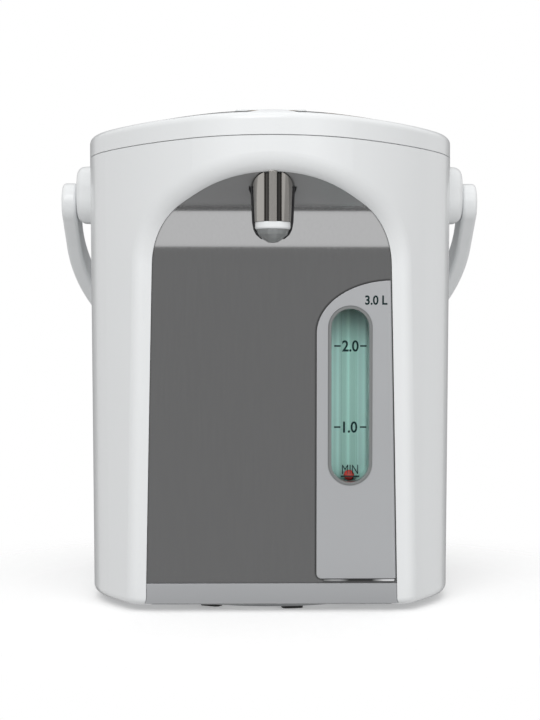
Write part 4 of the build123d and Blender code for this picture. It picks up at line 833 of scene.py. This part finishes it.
def add_floor(radius, glow):
    """The pale floor disc, unseen in mirrors."""
    work = bmesh.new()
    bmesh.ops.create_circle(work, cap_ends=True, segments=96, radius=radius)
    floor = bpy.data.objects.new("floor", finished_mesh(work, "floor"))
    floor.data.materials.append(floor_material(radius, glow))
    floor.visible_glossy = False
    floor.visible_diffuse = False
    bpy.context.scene.collection.objects.link(floor)


def add_mirror_card(name, place, level):
    """A dim card, two by two before it is put in its place, that only mirrors see."""
    work = bmesh.new()
    bmesh.ops.create_grid(work, x_segments=1, y_segments=1, size=1)
    mesh = finished_mesh(work, name)
    mesh.transform(place)
    card = bpy.data.objects.new(name, mesh)
    material = bpy.data.materials.new(name)
    material.use_nodes = True
    nodes, links = material.node_tree.nodes, material.node_tree.links
    glow = nodes.new("ShaderNodeEmission")
    glow.inputs["Color"].default_value = (level, level, level, 1)
    links.new(glow.outputs[0], nodes["Material Output"].inputs["Surface"])
    card.data.materials.append(material)
    for ray in ("camera", "diffuse", "transmission", "shadow", "volume_scatter"):
        setattr(card, f"visible_{ray}", False)
    bpy.context.scene.collection.objects.link(card)


def upright_card(x, y, z, half_width, half_height):
    """Where an upright card stands, facing the pot."""
    turn = Matrix.Rotation(QUARTER_TURN, 4, "X")
    return Matrix.Translation((x, y, z)) @ turn @ Matrix.Diagonal((half_width, half_height, 1, 1))


def add_mirror_cards(studio):
    """The dim surroundings that the bright metal and the flanks mirror."""
    add_mirror_card("front_card", upright_card(*FRONT_CARD), studio.card_level)
    add_mirror_card("back_card", upright_card(*BACK_CARD), studio.back_card_level)
    side = Matrix.Translation(SIDE_CARD_PLACE) @ Matrix.Rotation(QUARTER_TURN, 4, "Y")
    add_mirror_card("side_card", side @ Matrix.Diagonal((*SIDE_CARD_HALVES, 1, 1)), studio.side_card_level)
    front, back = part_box("outer_casing")[0].y + NOSE_GAP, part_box("base_strip")[1].y
    middle, half = (front + back) / 2, (back - front) / 2
    foot = Matrix.Translation((0, middle, MM)) @ Matrix.Diagonal((FOOT_CARD_HALF_WIDTH, half, 1, 1))
    add_mirror_card("foot_card", foot, studio.foot_card_level)


def add_camera(studio):
    """The camera, level and turned a little to the right."""
    camera = bpy.data.cameras.new("Camera")
    camera.lens = studio.camera_lens
    camera.sensor_width = 36
    camera.shift_y = studio.camera_shift
    camera.clip_start, camera.clip_end = 0.01, 50
    holder = bpy.data.objects.new("Camera", camera)
    holder.location = studio.camera_place
    holder.rotation_euler = (QUARTER_TURN, 0, -studio.camera_turn)
    bpy.context.scene.collection.objects.link(holder)
    bpy.context.scene.camera = holder


class POT_OT_studio(bpy.types.Operator):
    """Set up the floor, surround, lights and camera"""

    bl_idname = "pot.studio"
    bl_label = "Set up the studio"

    def execute(self, context):
        studio = context.scene.pot_studio
        context.scene.view_settings.view_transform = "Standard"
        make_world(studio.ambient)
        add_floor(studio.floor_radius, studio.floor_glow)
        add_mirror_cards(studio)
        add_area("Key light", KEY_PLACE, KEY_SIZE, studio.key_power)
        fill = add_area("Fill light", FILL_PLACE, FILL_SIZE, studio.fill_power)
        fill.visible_glossy = False
        add_area("Top light", TOP_PLACE, TOP_SIZE, studio.top_power)
        add_camera(studio)
        return {"FINISHED"}


class POT_PT_panel(bpy.types.Panel):
    """Sidebar panel that lists the steps"""

    bl_label = "Thermo Pot"
    bl_idname = "POT_PT_panel"
    bl_space_type = "VIEW_3D"
    bl_region_type = "UI"
    bl_category = "Thermo Pot"

    def draw(self, context):
        for step in STEPS:
            self.layout.operator(step.bl_idname)


STEPS = (POT_OT_finishes, POT_OT_scale, POT_OT_plate_bead, POT_OT_screw_slots, POT_OT_studio)
GROUPS = {"pot_finish": PotFinish, "pot_marks": PotMarks, "pot_studio": PotStudio}


def register():
    """Registers the settings, the steps and the panel."""
    for kind in (*GROUPS.values(), *STEPS, POT_PT_panel):
        bpy.utils.register_class(kind)
    for name, kind in GROUPS.items():
        setattr(bpy.types.Scene, name, PointerProperty(type=kind))


def unregister():
    """Undoes register, in the reverse order."""
    for name in GROUPS:
        delattr(bpy.types.Scene, name)
    for kind in (POT_PT_panel, *reversed(STEPS), *reversed(GROUPS.values())):
        bpy.utils.unregister_class(kind)


def main():
    """Runs every step in order."""
    register()
    bpy.ops.pot.finishes()
    bpy.ops.pot.scale()
    bpy.ops.pot.plate_bead()
    bpy.ops.pot.screw_slots()
    bpy.ops.pot.studio()


if __name__ == "__main__":
    main()
